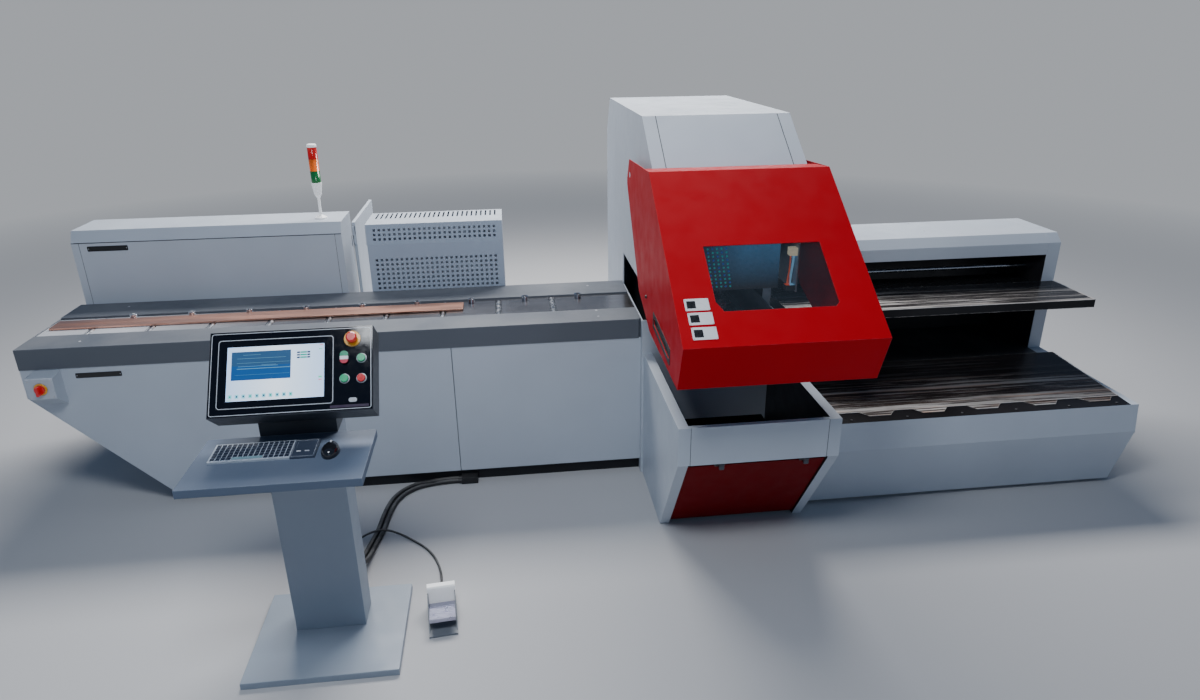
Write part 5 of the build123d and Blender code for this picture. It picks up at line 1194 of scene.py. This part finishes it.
def turned(mesh, at, profile, index=0, steps=28, hollow=False):
    """A profile of (radius, height) pairs round the frame's Z, with closed or joined ends."""
    loops = [
        [point(mesh, at, radius * math.cos(angle), radius * math.sin(angle), z) for angle in around(steps)]
        for radius, z in profile
    ]
    for first, second in zip(loops, loops[1:]):
        close_strip(mesh, first, second, index)
    if hollow:
        close_strip(mesh, loops[-1], loops[0], index)
    else:
        close_ends(mesh, loops[0], loops[-1], index)


def screw_head(mesh, at, radius, index=0, steps=16):
    """A low round head with a driver recess."""
    profile = ((radius, 0.0), (radius, 0.9), (radius * 0.82, 1.5), (radius * 0.42, 1.5), (radius * 0.38, 0.5))
    turned(mesh, at, profile, index, steps)


show_helpers(close_strip, close_ends, prism, band, turned, screw_head)

# %% Helper: finish a piece
def finish_piece(name, mesh, coats, body, slot, radius=0.0):
    """Makes the mesh a piece with its coats, on its body; the radius in millimetres softens its edges."""
    bmesh.ops.recalc_face_normals(mesh, faces=mesh.faces)
    data = bpy.data.meshes.new(name)
    mesh.to_mesh(data)
    mesh.free()
    for coat in coats:
        data.materials.append(finishes[coat])
    piece = put_in_scene(name, data)
    if radius:
        data.shade_smooth()
        round_edges(piece, radius)
    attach(piece, body)
    print(name, len(data.polygons), "faces")
    return piece


show_helpers(finish_piece)

# %% [markdown]
# The monitor's black front has a thin silver line round its edge and a second, rounded one round
# the display's frame. A yellow collar lies under the emergency stop, fine silver rings surround the
# buttons, and a small silver cap closes the socket at the lower right. Each is a real raised piece,
# from half a millimetre to a few millimetres high, so that it catches the light as trim does.

# %% Where the monitor's trim sits, in millimetres on its face
moulded("trim_silver", (0.58, 0.61, 0.66), 0.24, depth=0.00002, dust=0.0)
moulded("dark_strip", (0.045, 0.030, 0.060), 0.20, depth=0.00002, dust=0.0)

PANEL = frame_of(PANEL_PLACE, RIGHTWARDS, PANEL_UP)
FACE_LINE = (288.0, 156.0, 9.0)
FRAME_CENTRE = (-55.5, -1.5)
FRAME_LINE = (206.5, 130.5, 12.0)
LINE_WIDTH = 2.6
ESTOP = (219.0, 113.0)
BUTTONS = ((252.6, 36.0), (191.0, -40.4), (252.5, -41.7))
SOCKET_CENTRE = (221.7, -122.7)
SOCKET_CAP, SOCKET_CORE = (15.0, 8.0, 7.5), (9.0, 3.5, 3.4)  # half sizes and corner
SOCKET_OUT = 3.5
STRIP_CENTRE, STRIP = (209.0, -144.5), (70.0, 5.0, 2.0)
FRAME_OUT = 2.6
RING_PROFILE = ((15.8, 0.0), (15.8, 2.6), (18.2, 2.2), (19.0, 0.0))
COLLAR_PROFILE = ((9.0, 3.05), (9.0, 3.25), (29.6, 3.25), (31.5, 2.2), (31.5, 0.0), (31.1, 0.0), (31.1, 1.8))
print("trim finishes", list(finishes)[-2:], "rings", len(BUTTONS))

# %% Monitor trim
def outline_band(mesh, line, centre, depth, base):
    half_x, half_y, corner = line
    inner = rounded(half_x - LINE_WIDTH, half_y - LINE_WIDTH, corner - LINE_WIDTH, centre)
    band(mesh, PANEL, rounded(half_x, half_y, corner, centre), inner, depth, base=base)


def monitor_trim():
    mesh = bmesh.new()
    outline_band(mesh, FACE_LINE, (0.0, 0.0), depth=0.6, base=0.0)
    outline_band(mesh, FRAME_LINE, FRAME_CENTRE, depth=1.0, base=FRAME_OUT)
    prism(mesh, PANEL, rounded(*SOCKET_CAP, SOCKET_CENTRE), SOCKET_OUT)
    prism(mesh, PANEL, rounded(*SOCKET_CORE, SOCKET_CENTRE), 1.5, base=SOCKET_OUT)
    prism(mesh, PANEL, rounded(*STRIP, STRIP_CENTRE), 0.6, index=1)
    coats = ("trim_silver", "dark_strip")
    return finish_piece("monitor_trim", mesh, coats, ROOT, "grey_plastic", radius=0.2)


def button_rings():
    mesh = bmesh.new()
    for place in BUTTONS:
        turned(mesh, shifted(PANEL, *place), RING_PROFILE, hollow=True)
    return finish_piece("button_rings", mesh, ("trim_silver",), ROOT, "grey_plastic", radius=0.2)


def estop_collar():
    mesh = bmesh.new()
    turned(mesh, shifted(PANEL, *ESTOP), COLLAR_PROFILE, hollow=True, steps=48)
    return finish_piece("estop_collar", mesh, ("yellow_ring",), ROOT, "grey_plastic")


monitor_trim()
button_rings()
estop_collar()

# %% [markdown]
# What the display shows is drawn in plain shapes: a blue drawing field with a few light lines, three
# short value rows, ten keys along the foot and a few marks at the sides. Each shape is a sheet of a
# tenth of a millimetre on the glass, lit by its own colour. The tables give left, top, right and
# bottom as shares of the glass.

# %% Colours on the display
SHOWN = {
    "field_blue": ((0.024, 0.075, 0.165), 0.70),
    "field_deep": ((0.010, 0.070, 0.230), 0.70),
    "line_pale": ((0.10, 0.25, 0.36), 0.7),
    "row_dark": ((0.010, 0.035, 0.10), 0.6),
    "row_teal": ((0.015, 0.34, 0.26), 0.8),
    "key_teal": ((0.22, 0.62, 0.70), 0.9),
    "mark_green": ((0.06, 0.62, 0.28), 0.9),
    "mark_red": ((0.75, 0.06, 0.10), 0.9),
}


def shown_finish(name, colour, glow):
    tree, shader = start_finish(name)
    tone, gloss = drift(tree, scale=8.0, amount=0.05, smooth=0.12, dull=0.20)
    shine(tree, shader, toned(tree, colour, tone), glow)
    fill(tree, shader, Roughness=gloss)


for name, (colour, glow) in SHOWN.items():
    shown_finish(name, colour, glow)
print("display colours", len(SHOWN))

# %% Places of the shapes on the display
FIELD = (0.043, 0.090, 0.652, 0.620)
FIELD_LINES = (
    (0.16, 0.150, 0.34, 0.156), (0.10, 0.215, 0.60, 0.221), (0.10, 0.300, 0.640, 0.305),
    (0.11, 0.362, 0.52, 0.370), (0.35, 0.345, 0.50, 0.352), (0.10, 0.402, 0.652, 0.416),
    (0.08, 0.520, 0.64, 0.524),
)
VALUE_ROWS = 3
ROW_TOP, ROW_PITCH, ROW_HEIGHT = 0.135, 0.048, 0.030
ROW_CELLS = ((0.715, 0.745, "row_dark"), (0.749, 0.818, "row_teal"), (0.822, 0.852, "row_dark"))
KEYS = 10
KEY_LEFT, KEY_PITCH, KEY_WIDTH = 0.022, 0.0686, 0.037
KEY_TOP_SHARE, KEY_LOW_SHARE = 0.880, 0.952
KEY_MARGIN_X, KEY_MARGIN_Y = 0.010, 0.02
MARKS = (
    ((0.94, 0.615, 0.975, 0.640), "mark_green"),
    ((0.94, 0.672, 0.975, 0.686), "mark_red"),
    ((0.95, 0.020, 0.985, 0.032), "mark_red"),
    ((0.945, 0.095, 0.975, 0.110), "mark_green"),
    ((0.008, 0.975, 0.050, 0.985), "mark_green"),
)
GLASS_OUT = 2.0
SHEET = 0.1
print("display lines", len(FIELD_LINES), "rows", VALUE_ROWS, "keys", KEYS, "marks", len(MARKS))

# %% Shapes on the display
def glass_box(left, top, right, bottom):
    """A box given in shares of the glass as an outline on the monitor's face."""
    x = [GLASS[0] + (GLASS[1] - GLASS[0]) * share for share in (left, right)]
    y = [GLASS[3] - (GLASS[3] - GLASS[2]) * share for share in (bottom, top)]
    return [(x[0], y[0]), (x[1], y[0]), (x[1], y[1]), (x[0], y[1])]


def lay_shape(mesh, box, coat, level=0):
    """One sheet in its colour; level 1 lies on another sheet."""
    prism(mesh, PANEL, glass_box(*box), SHEET, list(SHOWN).index(coat), GLASS_OUT + SHEET * level)


def display_shapes():
    mesh = bmesh.new()
    left, top, right, bottom = FIELD
    middle = (top + bottom) / 2
    lay_shape(mesh, (left, top, right, middle), "field_blue")
    lay_shape(mesh, (left, middle, right, bottom), "field_deep")
    for line in FIELD_LINES:
        lay_shape(mesh, line, "line_pale", 1)
    for row in range(VALUE_ROWS):
        high = ROW_TOP + ROW_PITCH * row
        for start, end, coat in ROW_CELLS:
            lay_shape(mesh, (start, high, end, high + ROW_HEIGHT), coat)
    for key in range(KEYS):
        start = KEY_LEFT + KEY_PITCH * key
        end = start + KEY_WIDTH
        lay_shape(mesh, (start, KEY_TOP_SHARE, end, KEY_LOW_SHARE), "key_teal")
        left, right = start + KEY_MARGIN_X, end - KEY_MARGIN_X
        top, bottom = KEY_TOP_SHARE + KEY_MARGIN_Y, KEY_LOW_SHARE - KEY_MARGIN_Y
        lay_shape(mesh, (left, top, right, bottom), "field_blue" if key % 3 else "row_teal", 1)
    for box, coat in MARKS:
        lay_shape(mesh, box, coat)
    return finish_piece("display_shapes", mesh, SHOWN, ROOT, "screen_glass")


display_shapes()

# %% [markdown]
# On the keyboard's right end a fine silver outline runs round the touchpad field, with two small
# silver keys in it. The mouse has a chrome waist line; it is a band between two ovals, one a hair
# wider than the shell and one inside it.

# %% Keyboard and mouse trim
DECK = frame_of(DECK_PLACE, RIGHTWARDS, DECK_UP)
PAD_FIELD = (331.0, 61.0, 40.0, 56.0)  # its middle, then half its width and depth
PAD_KEYS = (313.0, 343.0)
PAD_KEYS_UP = 40.0
MOUSE = Matrix.Translation(Vector((-1091.0, -1474.0, 965.0)) * MM)
MOUSE_HALF = (34.0, 56.0)
MOUSE_HEIGHT = 36.0
MOUSE_WAIST = 7.0
MOUSE_WAIST_SHARE = 1.0 - 0.5 * MOUSE_WAIST / MOUSE_HEIGHT


def keyboard_trim():
    mesh = bmesh.new()
    x, y, half_x, half_y = PAD_FIELD
    outer, inner = rounded(half_x, half_y, 4.0, (x, y)), rounded(half_x - 1.0, half_y - 1.0, 3.2, (x, y))
    band(mesh, DECK, outer, inner, 0.4)
    for key in PAD_KEYS:
        prism(mesh, DECK, rounded(8.0, 3.6, 1.6, (key, PAD_KEYS_UP)), 1.2)
    return finish_piece("keyboard_trim", mesh, ("trim_silver",), ROOT, "grey_plastic", radius=0.15)


def oval(share, steps=48):
    return [(MOUSE_HALF[0] * share * math.cos(a), MOUSE_HALF[1] * share * math.sin(a)) for a in around(steps)]


def mouse_trim():
    mesh = bmesh.new()
    outer, inner = oval(MOUSE_WAIST_SHARE + 0.010), oval(MOUSE_WAIST_SHARE - 0.03)
    band(mesh, MOUSE, outer, inner, 1.2, base=MOUSE_WAIST)
    return finish_piece("mouse_trim", mesh, ("trim_silver",), ROOT, "grey_plastic", radius=0.2)


keyboard_trim()
mouse_trim()

# %% [markdown]
# A mouse is a smooth shell with no edge at its top, which a model made of two ovals can't show. It
# is built again here from stacked ovals that shrink as a super-ellipse does, a little narrower in
# front, with a ribbed wheel between its buttons. It keeps the size and the place of the model's own.

# %% Mouse
moulded("mouse_black", (0.010, 0.011, 0.015), 0.10, depth=0.00001, coat=0.7, dust=0.02)
MOUSE_LEVELS = 12
MOUSE_STEPS = 40
CROWN_BULGE, CROWN_ROUND = 2.6, 2.2  # the powers of the super-ellipse
FRONT_NARROWS = 0.10
CROWN_BACK = 8.0  # the crown lies this much behind the middle
WHEEL = (26.0, 28.0, 9.6, 7.0)  # how far forward, how high, radius, width


def mouse_ring(mesh, level):
    """One oval of the shell; level runs from 0 at the desk to 1 at the crown."""
    share = max(0.0, 1.0 - level ** CROWN_BULGE) ** (1 / CROWN_ROUND)
    ring = []
    for angle in around(MOUSE_STEPS):
        narrow = 1.0 - FRONT_NARROWS * max(0.0, math.sin(angle))
        x = MOUSE_HALF[0] * share * narrow * math.cos(angle)
        y = MOUSE_HALF[1] * share * math.sin(angle) - CROWN_BACK * level ** 3
        ring.append(point(mesh, MOUSE, x, y, MOUSE_HEIGHT * level))
    return ring


def mouse_shell():
    mesh = bmesh.new()
    levels = [math.sin(math.pi / 2 * step / MOUSE_LEVELS) for step in range(MOUSE_LEVELS)]
    rings = [mouse_ring(mesh, level) for level in levels]
    for first, second in zip(rings, rings[1:]):
        close_strip(mesh, first, second)
    close_ends(mesh, rings[0], rings[-1])
    forward, high, radius, width = WHEEL
    axle = MOUSE @ frame_of((-width / 2, forward, high), BACKWARDS, UPWARDS)
    profile = ((radius - 1.0, 0.0), (radius, 1.0), (radius, width - 1.0), (radius - 1.0, width))
    turned(mesh, axle, profile, index=1)
    piece = finish_piece("mouse_shell", mesh, ("mouse_black", "trim_silver"), ROOT, "black_plastic")
    piece.data.shade_smooth()
    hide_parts("mouse")
    return piece


mouse_shell()

# %% [markdown]
# Three white plates are screwed to the hood's face at its lower left, each with one plain dark square. They
# ride on the hood. Behind the slot in the hood's side sits a pressed black cup for the fingers, and the knob
# of a bolt shows at the rear edge.

# %% Hood plates
moulded("plate_white", (0.78, 0.79, 0.80), 0.30, texture=300.0, dust=0.02)
moulded("plate_dark", (0.012, 0.013, 0.015), 0.30, texture=300.0, dust=0.0)
moulded("screw_zinc", (0.50, 0.51, 0.54), 0.30, texture=500.0, dust=0.02)

HOOD_CORNER = (256.0, -553.0, 1803.0)
HOOD_LIP = (256.0, -1346.0, 1245.0)
HOOD_FACE = frame_of(HOOD_CORNER, RIGHTWARDS, Vector(HOOD_CORNER) - Vector(HOOD_LIP))
PLATE_SIZE = (102.0, 60.0)
PLATE_TOPS = ((41.0, 728.0), (45.0, 798.0), (48.0, 870.0))
PLATE_SCREW_INSET = 5.0
SQUARE_SIZE = 37.0
SQUARE_INSET = 27.0


def hood_plate(number, left, top):
    mesh = bmesh.new()
    half_x, half_y = (side / 2 for side in PLATE_SIZE)
    at = shifted(HOOD_FACE, left + half_x, -top - half_y)
    prism(mesh, at, rounded(half_x, half_y, 4.0), 1.0)
    square = rounded(SQUARE_SIZE / 2, SQUARE_SIZE / 2, 2.0, (SQUARE_INSET - half_x, 0.0))
    prism(mesh, at, square, 0.25, index=1, base=1.0)
    for side_x in (-1, 1):
        for side_y in (-1, 1):
            x, y = side_x * (half_x - PLATE_SCREW_INSET), side_y * (half_y - PLATE_SCREW_INSET)
            screw_head(mesh, shifted(at, x, y, 1.0), 2.0, index=2, steps=12)
    name = "hood_plate_%d" % number
    coats = ("plate_white", "plate_dark", "screw_zinc")
    return finish_piece(name, mesh, coats, "hood", "white_plastic", radius=0.2)


for number, place in enumerate(PLATE_TOPS):
    hood_plate(number + 1, *place)

# %% Handle cup and bolt
CUP_MIDDLE = (260.0, -910.5, 1130.5)
CUP_RUN = Vector((0.0, 367.0, 35.0))
CUP_HALF = (183.5, 17.5)
CUP_RIM = (14.0, 22.0)
CUP_DEPTH = 28.0
HOOD_SHEET = 4.0
BOLT_PLACE = (256.0, -536.0, 1202.0)
BOLT_PROFILE = ((9.0, -1.0), (9.0, 3.0), (7.0, 8.0), (3.5, 8.0), (3.3, 4.0))


def slot_outline(wider):
    """The slot's outline with its round ends, wider by this much all round."""
    half_x, half_y = (half + wider for half in CUP_HALF)
    return rounded(half_x, half_y, half_y - 0.1)


def handle_cup():
    """An open dish behind the slot, with a floor and a lip inside the sheet and a dark rim outside."""
    mesh = bmesh.new()
    at = frame_of(CUP_MIDDLE, CUP_RUN, RIGHTWARDS.cross(CUP_RUN))
    inner, floor = slot_outline(0.0), slot_outline(-6.0)
    rim = rounded(CUP_HALF[0] + CUP_RIM[0], CUP_HALF[1] + CUP_RIM[1], 6.0)
    inwards = 1.0 if (at.to_3x3() @ Vector(UPWARDS)).x > 0 else -1.0
    band(mesh, at, slot_outline(8.0), inner, 1.5 * inwards)
    band(mesh, at, rim, inner, -1.5 * inwards, base=-HOOD_SHEET * inwards)
    band(mesh, at, slot_outline(2.0), inner, CUP_DEPTH * inwards)
    prism(mesh, at, floor, 2.0 * inwards, base=CUP_DEPTH * inwards)
    band(mesh, at, inner, floor, 2.0 * inwards, base=CUP_DEPTH * inwards)
    return finish_piece("handle_cup", mesh, ("black_moulding",), "hood", "black_plastic")


def hood_bolt():
    mesh = bmesh.new()
    turned(mesh, frame_of(BOLT_PLACE, (0.0, -1.0, 0.0), UPWARDS), BOLT_PROFILE)
    return finish_piece("hood_bolt", mesh, ("black_moulding",), "hood", "black_plastic", radius=0.4)


handle_cup()
hood_bolt()

# %% [markdown]
# Through the window one sees the guard in front of the tools. At its left a field of small teal and blue
# push-in fittings stands in rows, and beside it the sheet is plain. The fittings are turned pieces on a grid,
# fixed to the guard, and they get a painted glow of their own colour in the dark tool bay.

# %% Fittings on the tool guard
# Painted glow: the fittings give off a little of their colour.
moulded("fitting_teal_painted_glow", (0.03, 0.42, 0.44), 0.22, texture=200.0, glow=0.35, dust=0.0)
moulded("fitting_blue_painted_glow", (0.03, 0.12, 0.50), 0.22, texture=200.0, glow=0.35, dust=0.0)

FITTING_COLUMNS, FITTING_ROWS = 5, 13
FITTING_FIRST = (596.0, 1412.0)
FITTING_PITCH = (24.0, 20.0)
FITTING_LEAN = 3.2  # each row stands this much further right than the one above
FITTING_PROFILE = ((5.2, 0.0), (5.2, 3.0), (3.8, 5.0), (3.8, 8.0), (2.2, 9.0))
GUARD_FACE_Y = -334.0


def guard_fittings():
    mesh = bmesh.new()
    for row in range(FITTING_ROWS):
        for column in range(FITTING_COLUMNS):
            x = FITTING_FIRST[0] + FITTING_PITCH[0] * column + FITTING_LEAN * row
            z = FITTING_FIRST[1] - FITTING_PITCH[1] * row
            coat = 1 if (row + column) % 3 == 0 else 0
            turned(mesh, front_frame((x, GUARD_FACE_Y, z)), FITTING_PROFILE, coat, 12)
    coats = ("fitting_teal_painted_glow", "fitting_blue_painted_glow")
    return finish_piece("guard_fittings", mesh, coats, ROOT, "green_plastic", radius=0.3)


guard_fittings()

# %% [markdown]
# The machine carries two long bare dark plates, one on the infeed's front and one on the cabinet.
# A thin dark strip between the cabinet and its lid is a painted shadow, the shade line under the lid's edge.
# The isolator has a yellow disc under its red knob, and screws hold its cover.

# %% Blank plates, lid shadow strip and the isolator
moulded("plate_black", (0.010, 0.011, 0.013), 0.16, texture=80.0, depth=0.00003, dust=0.02)
BLANK_PLATES = (
    ("infeed_blank_plate", (-2526.0, -120.0, 786.0), (112.0, 14.0)),
    ("cabinet_blank_plate", (-2677.0, 600.0, 1274.0), (110.0, 15.0)),
)
BLANK_PLATE_THICKNESS = 1.6
BLANK_SCREW_INSET = 7.0
LID_SHADOW_MIDDLE = (-2119.0, 600.0, 1308.0)
LID_SHADOW_HALF = (749.0, 2.0)
ISOLATOR_CENTRE = (-2769.0, -209.9, 757.5)
ISOLATOR_DISC = ((24.8, 0.0), (24.8, 4.4), (30.2, 4.4), (31.5, 3.2), (31.5, 0.0))
ISOLATOR_SCREWS = ((-2822.0, 801.0), (-2716.0, 801.0), (-2822.0, 714.0), (-2716.0, 714.0))


def blank_plate(name, place, half):
    mesh = bmesh.new()
    at = front_frame(place)
    prism(mesh, at, rounded(*half, 5.0), BLANK_PLATE_THICKNESS)
    for side in (-1, 1):
        screw = shifted(at, side * (half[0] - BLANK_SCREW_INSET), 0.0, BLANK_PLATE_THICKNESS)
        screw_head(mesh, screw, 2.4, index=1, steps=12)
    return finish_piece(name, mesh, ("plate_black", "screw_zinc"), ROOT, "black_plastic", radius=0.3)


def isolator_disc():
    mesh = bmesh.new()
    turned(mesh, front_frame(ISOLATOR_CENTRE), ISOLATOR_DISC, hollow=True, steps=48)
    return finish_piece("isolator_disc", mesh, ("yellow_ring",), ROOT, "grey_plastic")


def isolator_screws():
    mesh = bmesh.new()
    for x, z in ISOLATOR_SCREWS:
        screw_head(mesh, front_frame((x, ISOLATOR_CENTRE[1], z)), 4.5)
    return finish_piece("isolator_screws", mesh, ("screw_zinc",), ROOT, "chrome_plate", radius=0.2)


# Painted shadow: a thin dark strip along the lid's lower edge.
def lid_shadow_strip():
    mesh = bmesh.new()
    prism(mesh, front_frame(LID_SHADOW_MIDDLE), rounded(*LID_SHADOW_HALF, 1.2), 0.8)
    return finish_piece("cabinet_lid_shadow_strip", mesh, ("black_moulding",), ROOT, "black_plastic")


for plate in BLANK_PLATES:
    blank_plate(*plate)
isolator_disc()
isolator_screws()
lid_shadow_strip()

# %% [markdown]
# Socket screws hold the deck covers of the infeed, the cover of the outfeed and the front strip of
# its tray, where they are blackened. All are the same turned head with a driver recess, set by a
# table of places; only the radius and the finish differ.

# %% Screws on the level faces
moulded("screw_dark", (0.07, 0.07, 0.075), 0.34, texture=500.0, dust=0.02)
DECK_PLACES = ((76, 52, 942), (75, -50, 942), (-2619, -37, 942), (-2598, 515, 946), (76, 515, 946))
COVER_PLACES = ((2132, 350, 1247), (2132, 548, 1247))
STRIP_PLACES = tuple((x, -676, 528.5) for x in (1310, 1612, 1913, 2214, 2515, 2790))
LEVEL_SCREWS = {
    "deck_screws": (6.5, "screw_zinc", DECK_PLACES),
    "cover_screws": (5.5, "screw_zinc", COVER_PLACES),
    "strip_screws": (6.0, "screw_dark", STRIP_PLACES),
}


def level_screws(name, radius, coat, places):
    mesh = bmesh.new()
    for place in places:
        screw_head(mesh, frame_of(place, RIGHTWARDS, BACKWARDS), radius)
    return finish_piece(name, mesh, (coat,), ROOT, "chrome_plate", radius=0.3)


for name, screws in LEVEL_SCREWS.items():
    level_screws(name, *screws)

# %% [markdown]
# At the back each cabinet door has two round quarter-turn locks near its free edge: a bright rim
# with a dark slot in its recess. The left door is shut and the right one stands open, so the second
# door's locks look to the right. They ride on their doors.

# %% Door locks
LOCK_HEIGHTS = (330.0, 1030.0)
LOCK_PROFILE = ((14.0, 0.0), (14.0, 2.5), (12.0, 4.0), (9.0, 4.0), (8.6, 2.6))
LOCKS = {
    "cabinet_door_left": ((-2164.0, 946.8), (-1.0, 0.0, 0.0)),
    "cabinet_door_right": ((-1347.2, 1646.0), BACKWARDS),
}


def door_locks(door, place, across):
    mesh = bmesh.new()
    for height in LOCK_HEIGHTS:
        at = frame_of((*place, height), across, UPWARDS)
        turned(mesh, at, LOCK_PROFILE, 0, 32)
        prism(mesh, at, rounded(6.5, 1.4, 1.2), 0.5, index=1, base=2.6)
    coats = ("screw_zinc", "plate_dark")
    return finish_piece(door + "_locks", mesh, coats, door, "chrome_plate", radius=0.3)


for door, (place, across) in LOCKS.items():
    door_locks(door, place, across)

# %% [markdown]
# The floor is a plain pale sheet, as in a studio. Beyond a few metres it turns bit by bit into the
# colour of the horizon, so that no edge shows from any side, and above the horizon the world fades
# from the same pale grey into a soft blue, which fills the shadows as in the photograph.

# %% Floor
FLOOR_HALF = 60.0
FLOOR_COLOUR = (0.50, 0.50, 0.51)
FLOOR_FADE = (4.5, 11.0)
HORIZON_COLOUR = (0.40, 0.42, 0.45)


def floor_finish():
    """Pale floor that gives way to the horizon's colour with the distance from the machine."""
    material = bpy.data.materials.new("studio_floor")
    material.use_nodes = True
    tree = material.node_tree
    axes = split(tree, object_place(tree))
    squares = [product(tree, axes[axis], axes[axis]) for axis in "XY"]
    far = span(tree, maths(tree, "SQRT", maths(tree, "ADD", *squares)), *FLOOR_FADE)
    fill(
        tree, tree.nodes["Principled BSDF"],
        Base_Color=blend_colour(tree, far, FLOOR_COLOUR, UNLIT),
        Roughness=0.85,
        Specular_IOR_Level=0.0,
        Emission_Color=HORIZON_COLOUR,
        Emission_Strength=far,
    )
    return material


def studio_floor():
    mesh = bpy.data.meshes.new("studio_floor")
    corners = [(x * FLOOR_HALF, y * FLOOR_HALF, 0.0) for x, y in ((-1, -1), (1, -1), (1, 1), (-1, 1))]
    mesh.from_pydata(corners, [], [(0, 1, 2, 3)])
    floor = put_in_scene("studio_floor", mesh)
    mesh.materials.append(floor_finish())
    return floor


print("stage", studio_floor().name)

# %% Sky
SKY_COLOUR = (0.060, 0.100, 0.175)
HORIZON_BAND = (0.03, 0.30)


def sky():
    world = bpy.data.worlds.new("studio_sky")
    bpy.context.scene.world = world
    world.use_nodes = True
    tree = world.node_tree
    direction = tree.nodes.new("ShaderNodeTexCoord").outputs["Generated"]
    rise = span(tree, split(tree, direction)["Z"], *HORIZON_BAND)
    fill(tree, tree.nodes["Background"], Color=blend_colour(tree, rise, HORIZON_COLOUR, SKY_COLOUR))
    return world


print("world", sky().name)

# %% [markdown]
# The light is soft. One long lamp stands above and a little behind the line, so that the decks are
# the brightest faces. A small one above the operator's place draws out the console and the infeed,
# and a wide, weak one stands lower and further off on the operator's side.

# %% Lamps
# place and target in metres, size in metres, power in watts, colour
LAMPS = {
    "key_lamp": ((0.2, 3.0, 5.0), (0.1, 0.3, 0.9), (5.4, 1.6), 600, (1.0, 0.99, 0.97)),
    "front_lamp": ((-0.9, -3.0, 4.6), (-1.0, -1.0, 0.5), (1.6, 0.9), 110, (0.90, 0.95, 1.0)),
    "fill_lamp": ((0.6, -6.4, 3.4), (0.2, 0.0, 0.8), (4.4, 2.0), 16, (0.62, 0.80, 1.0)),
}


def soft_lamp(name, place, target, size, power, colour):
    data = bpy.data.lights.new(name, "AREA")
    data.shape = "RECTANGLE"
    data.size, data.size_y = size
    data.energy = power
    data.color = colour
    lamp = put_in_scene(name, data)
    lamp.location = place
    lamp.visible_camera = False
    lamp.rotation_mode = "QUATERNION"
    lamp.rotation_quaternion = (Vector(target) - Vector(place)).to_track_quat("-Z", "Y")
    return lamp


for name, lamp in LAMPS.items():
    print(soft_lamp(name, *lamp).name, "on")
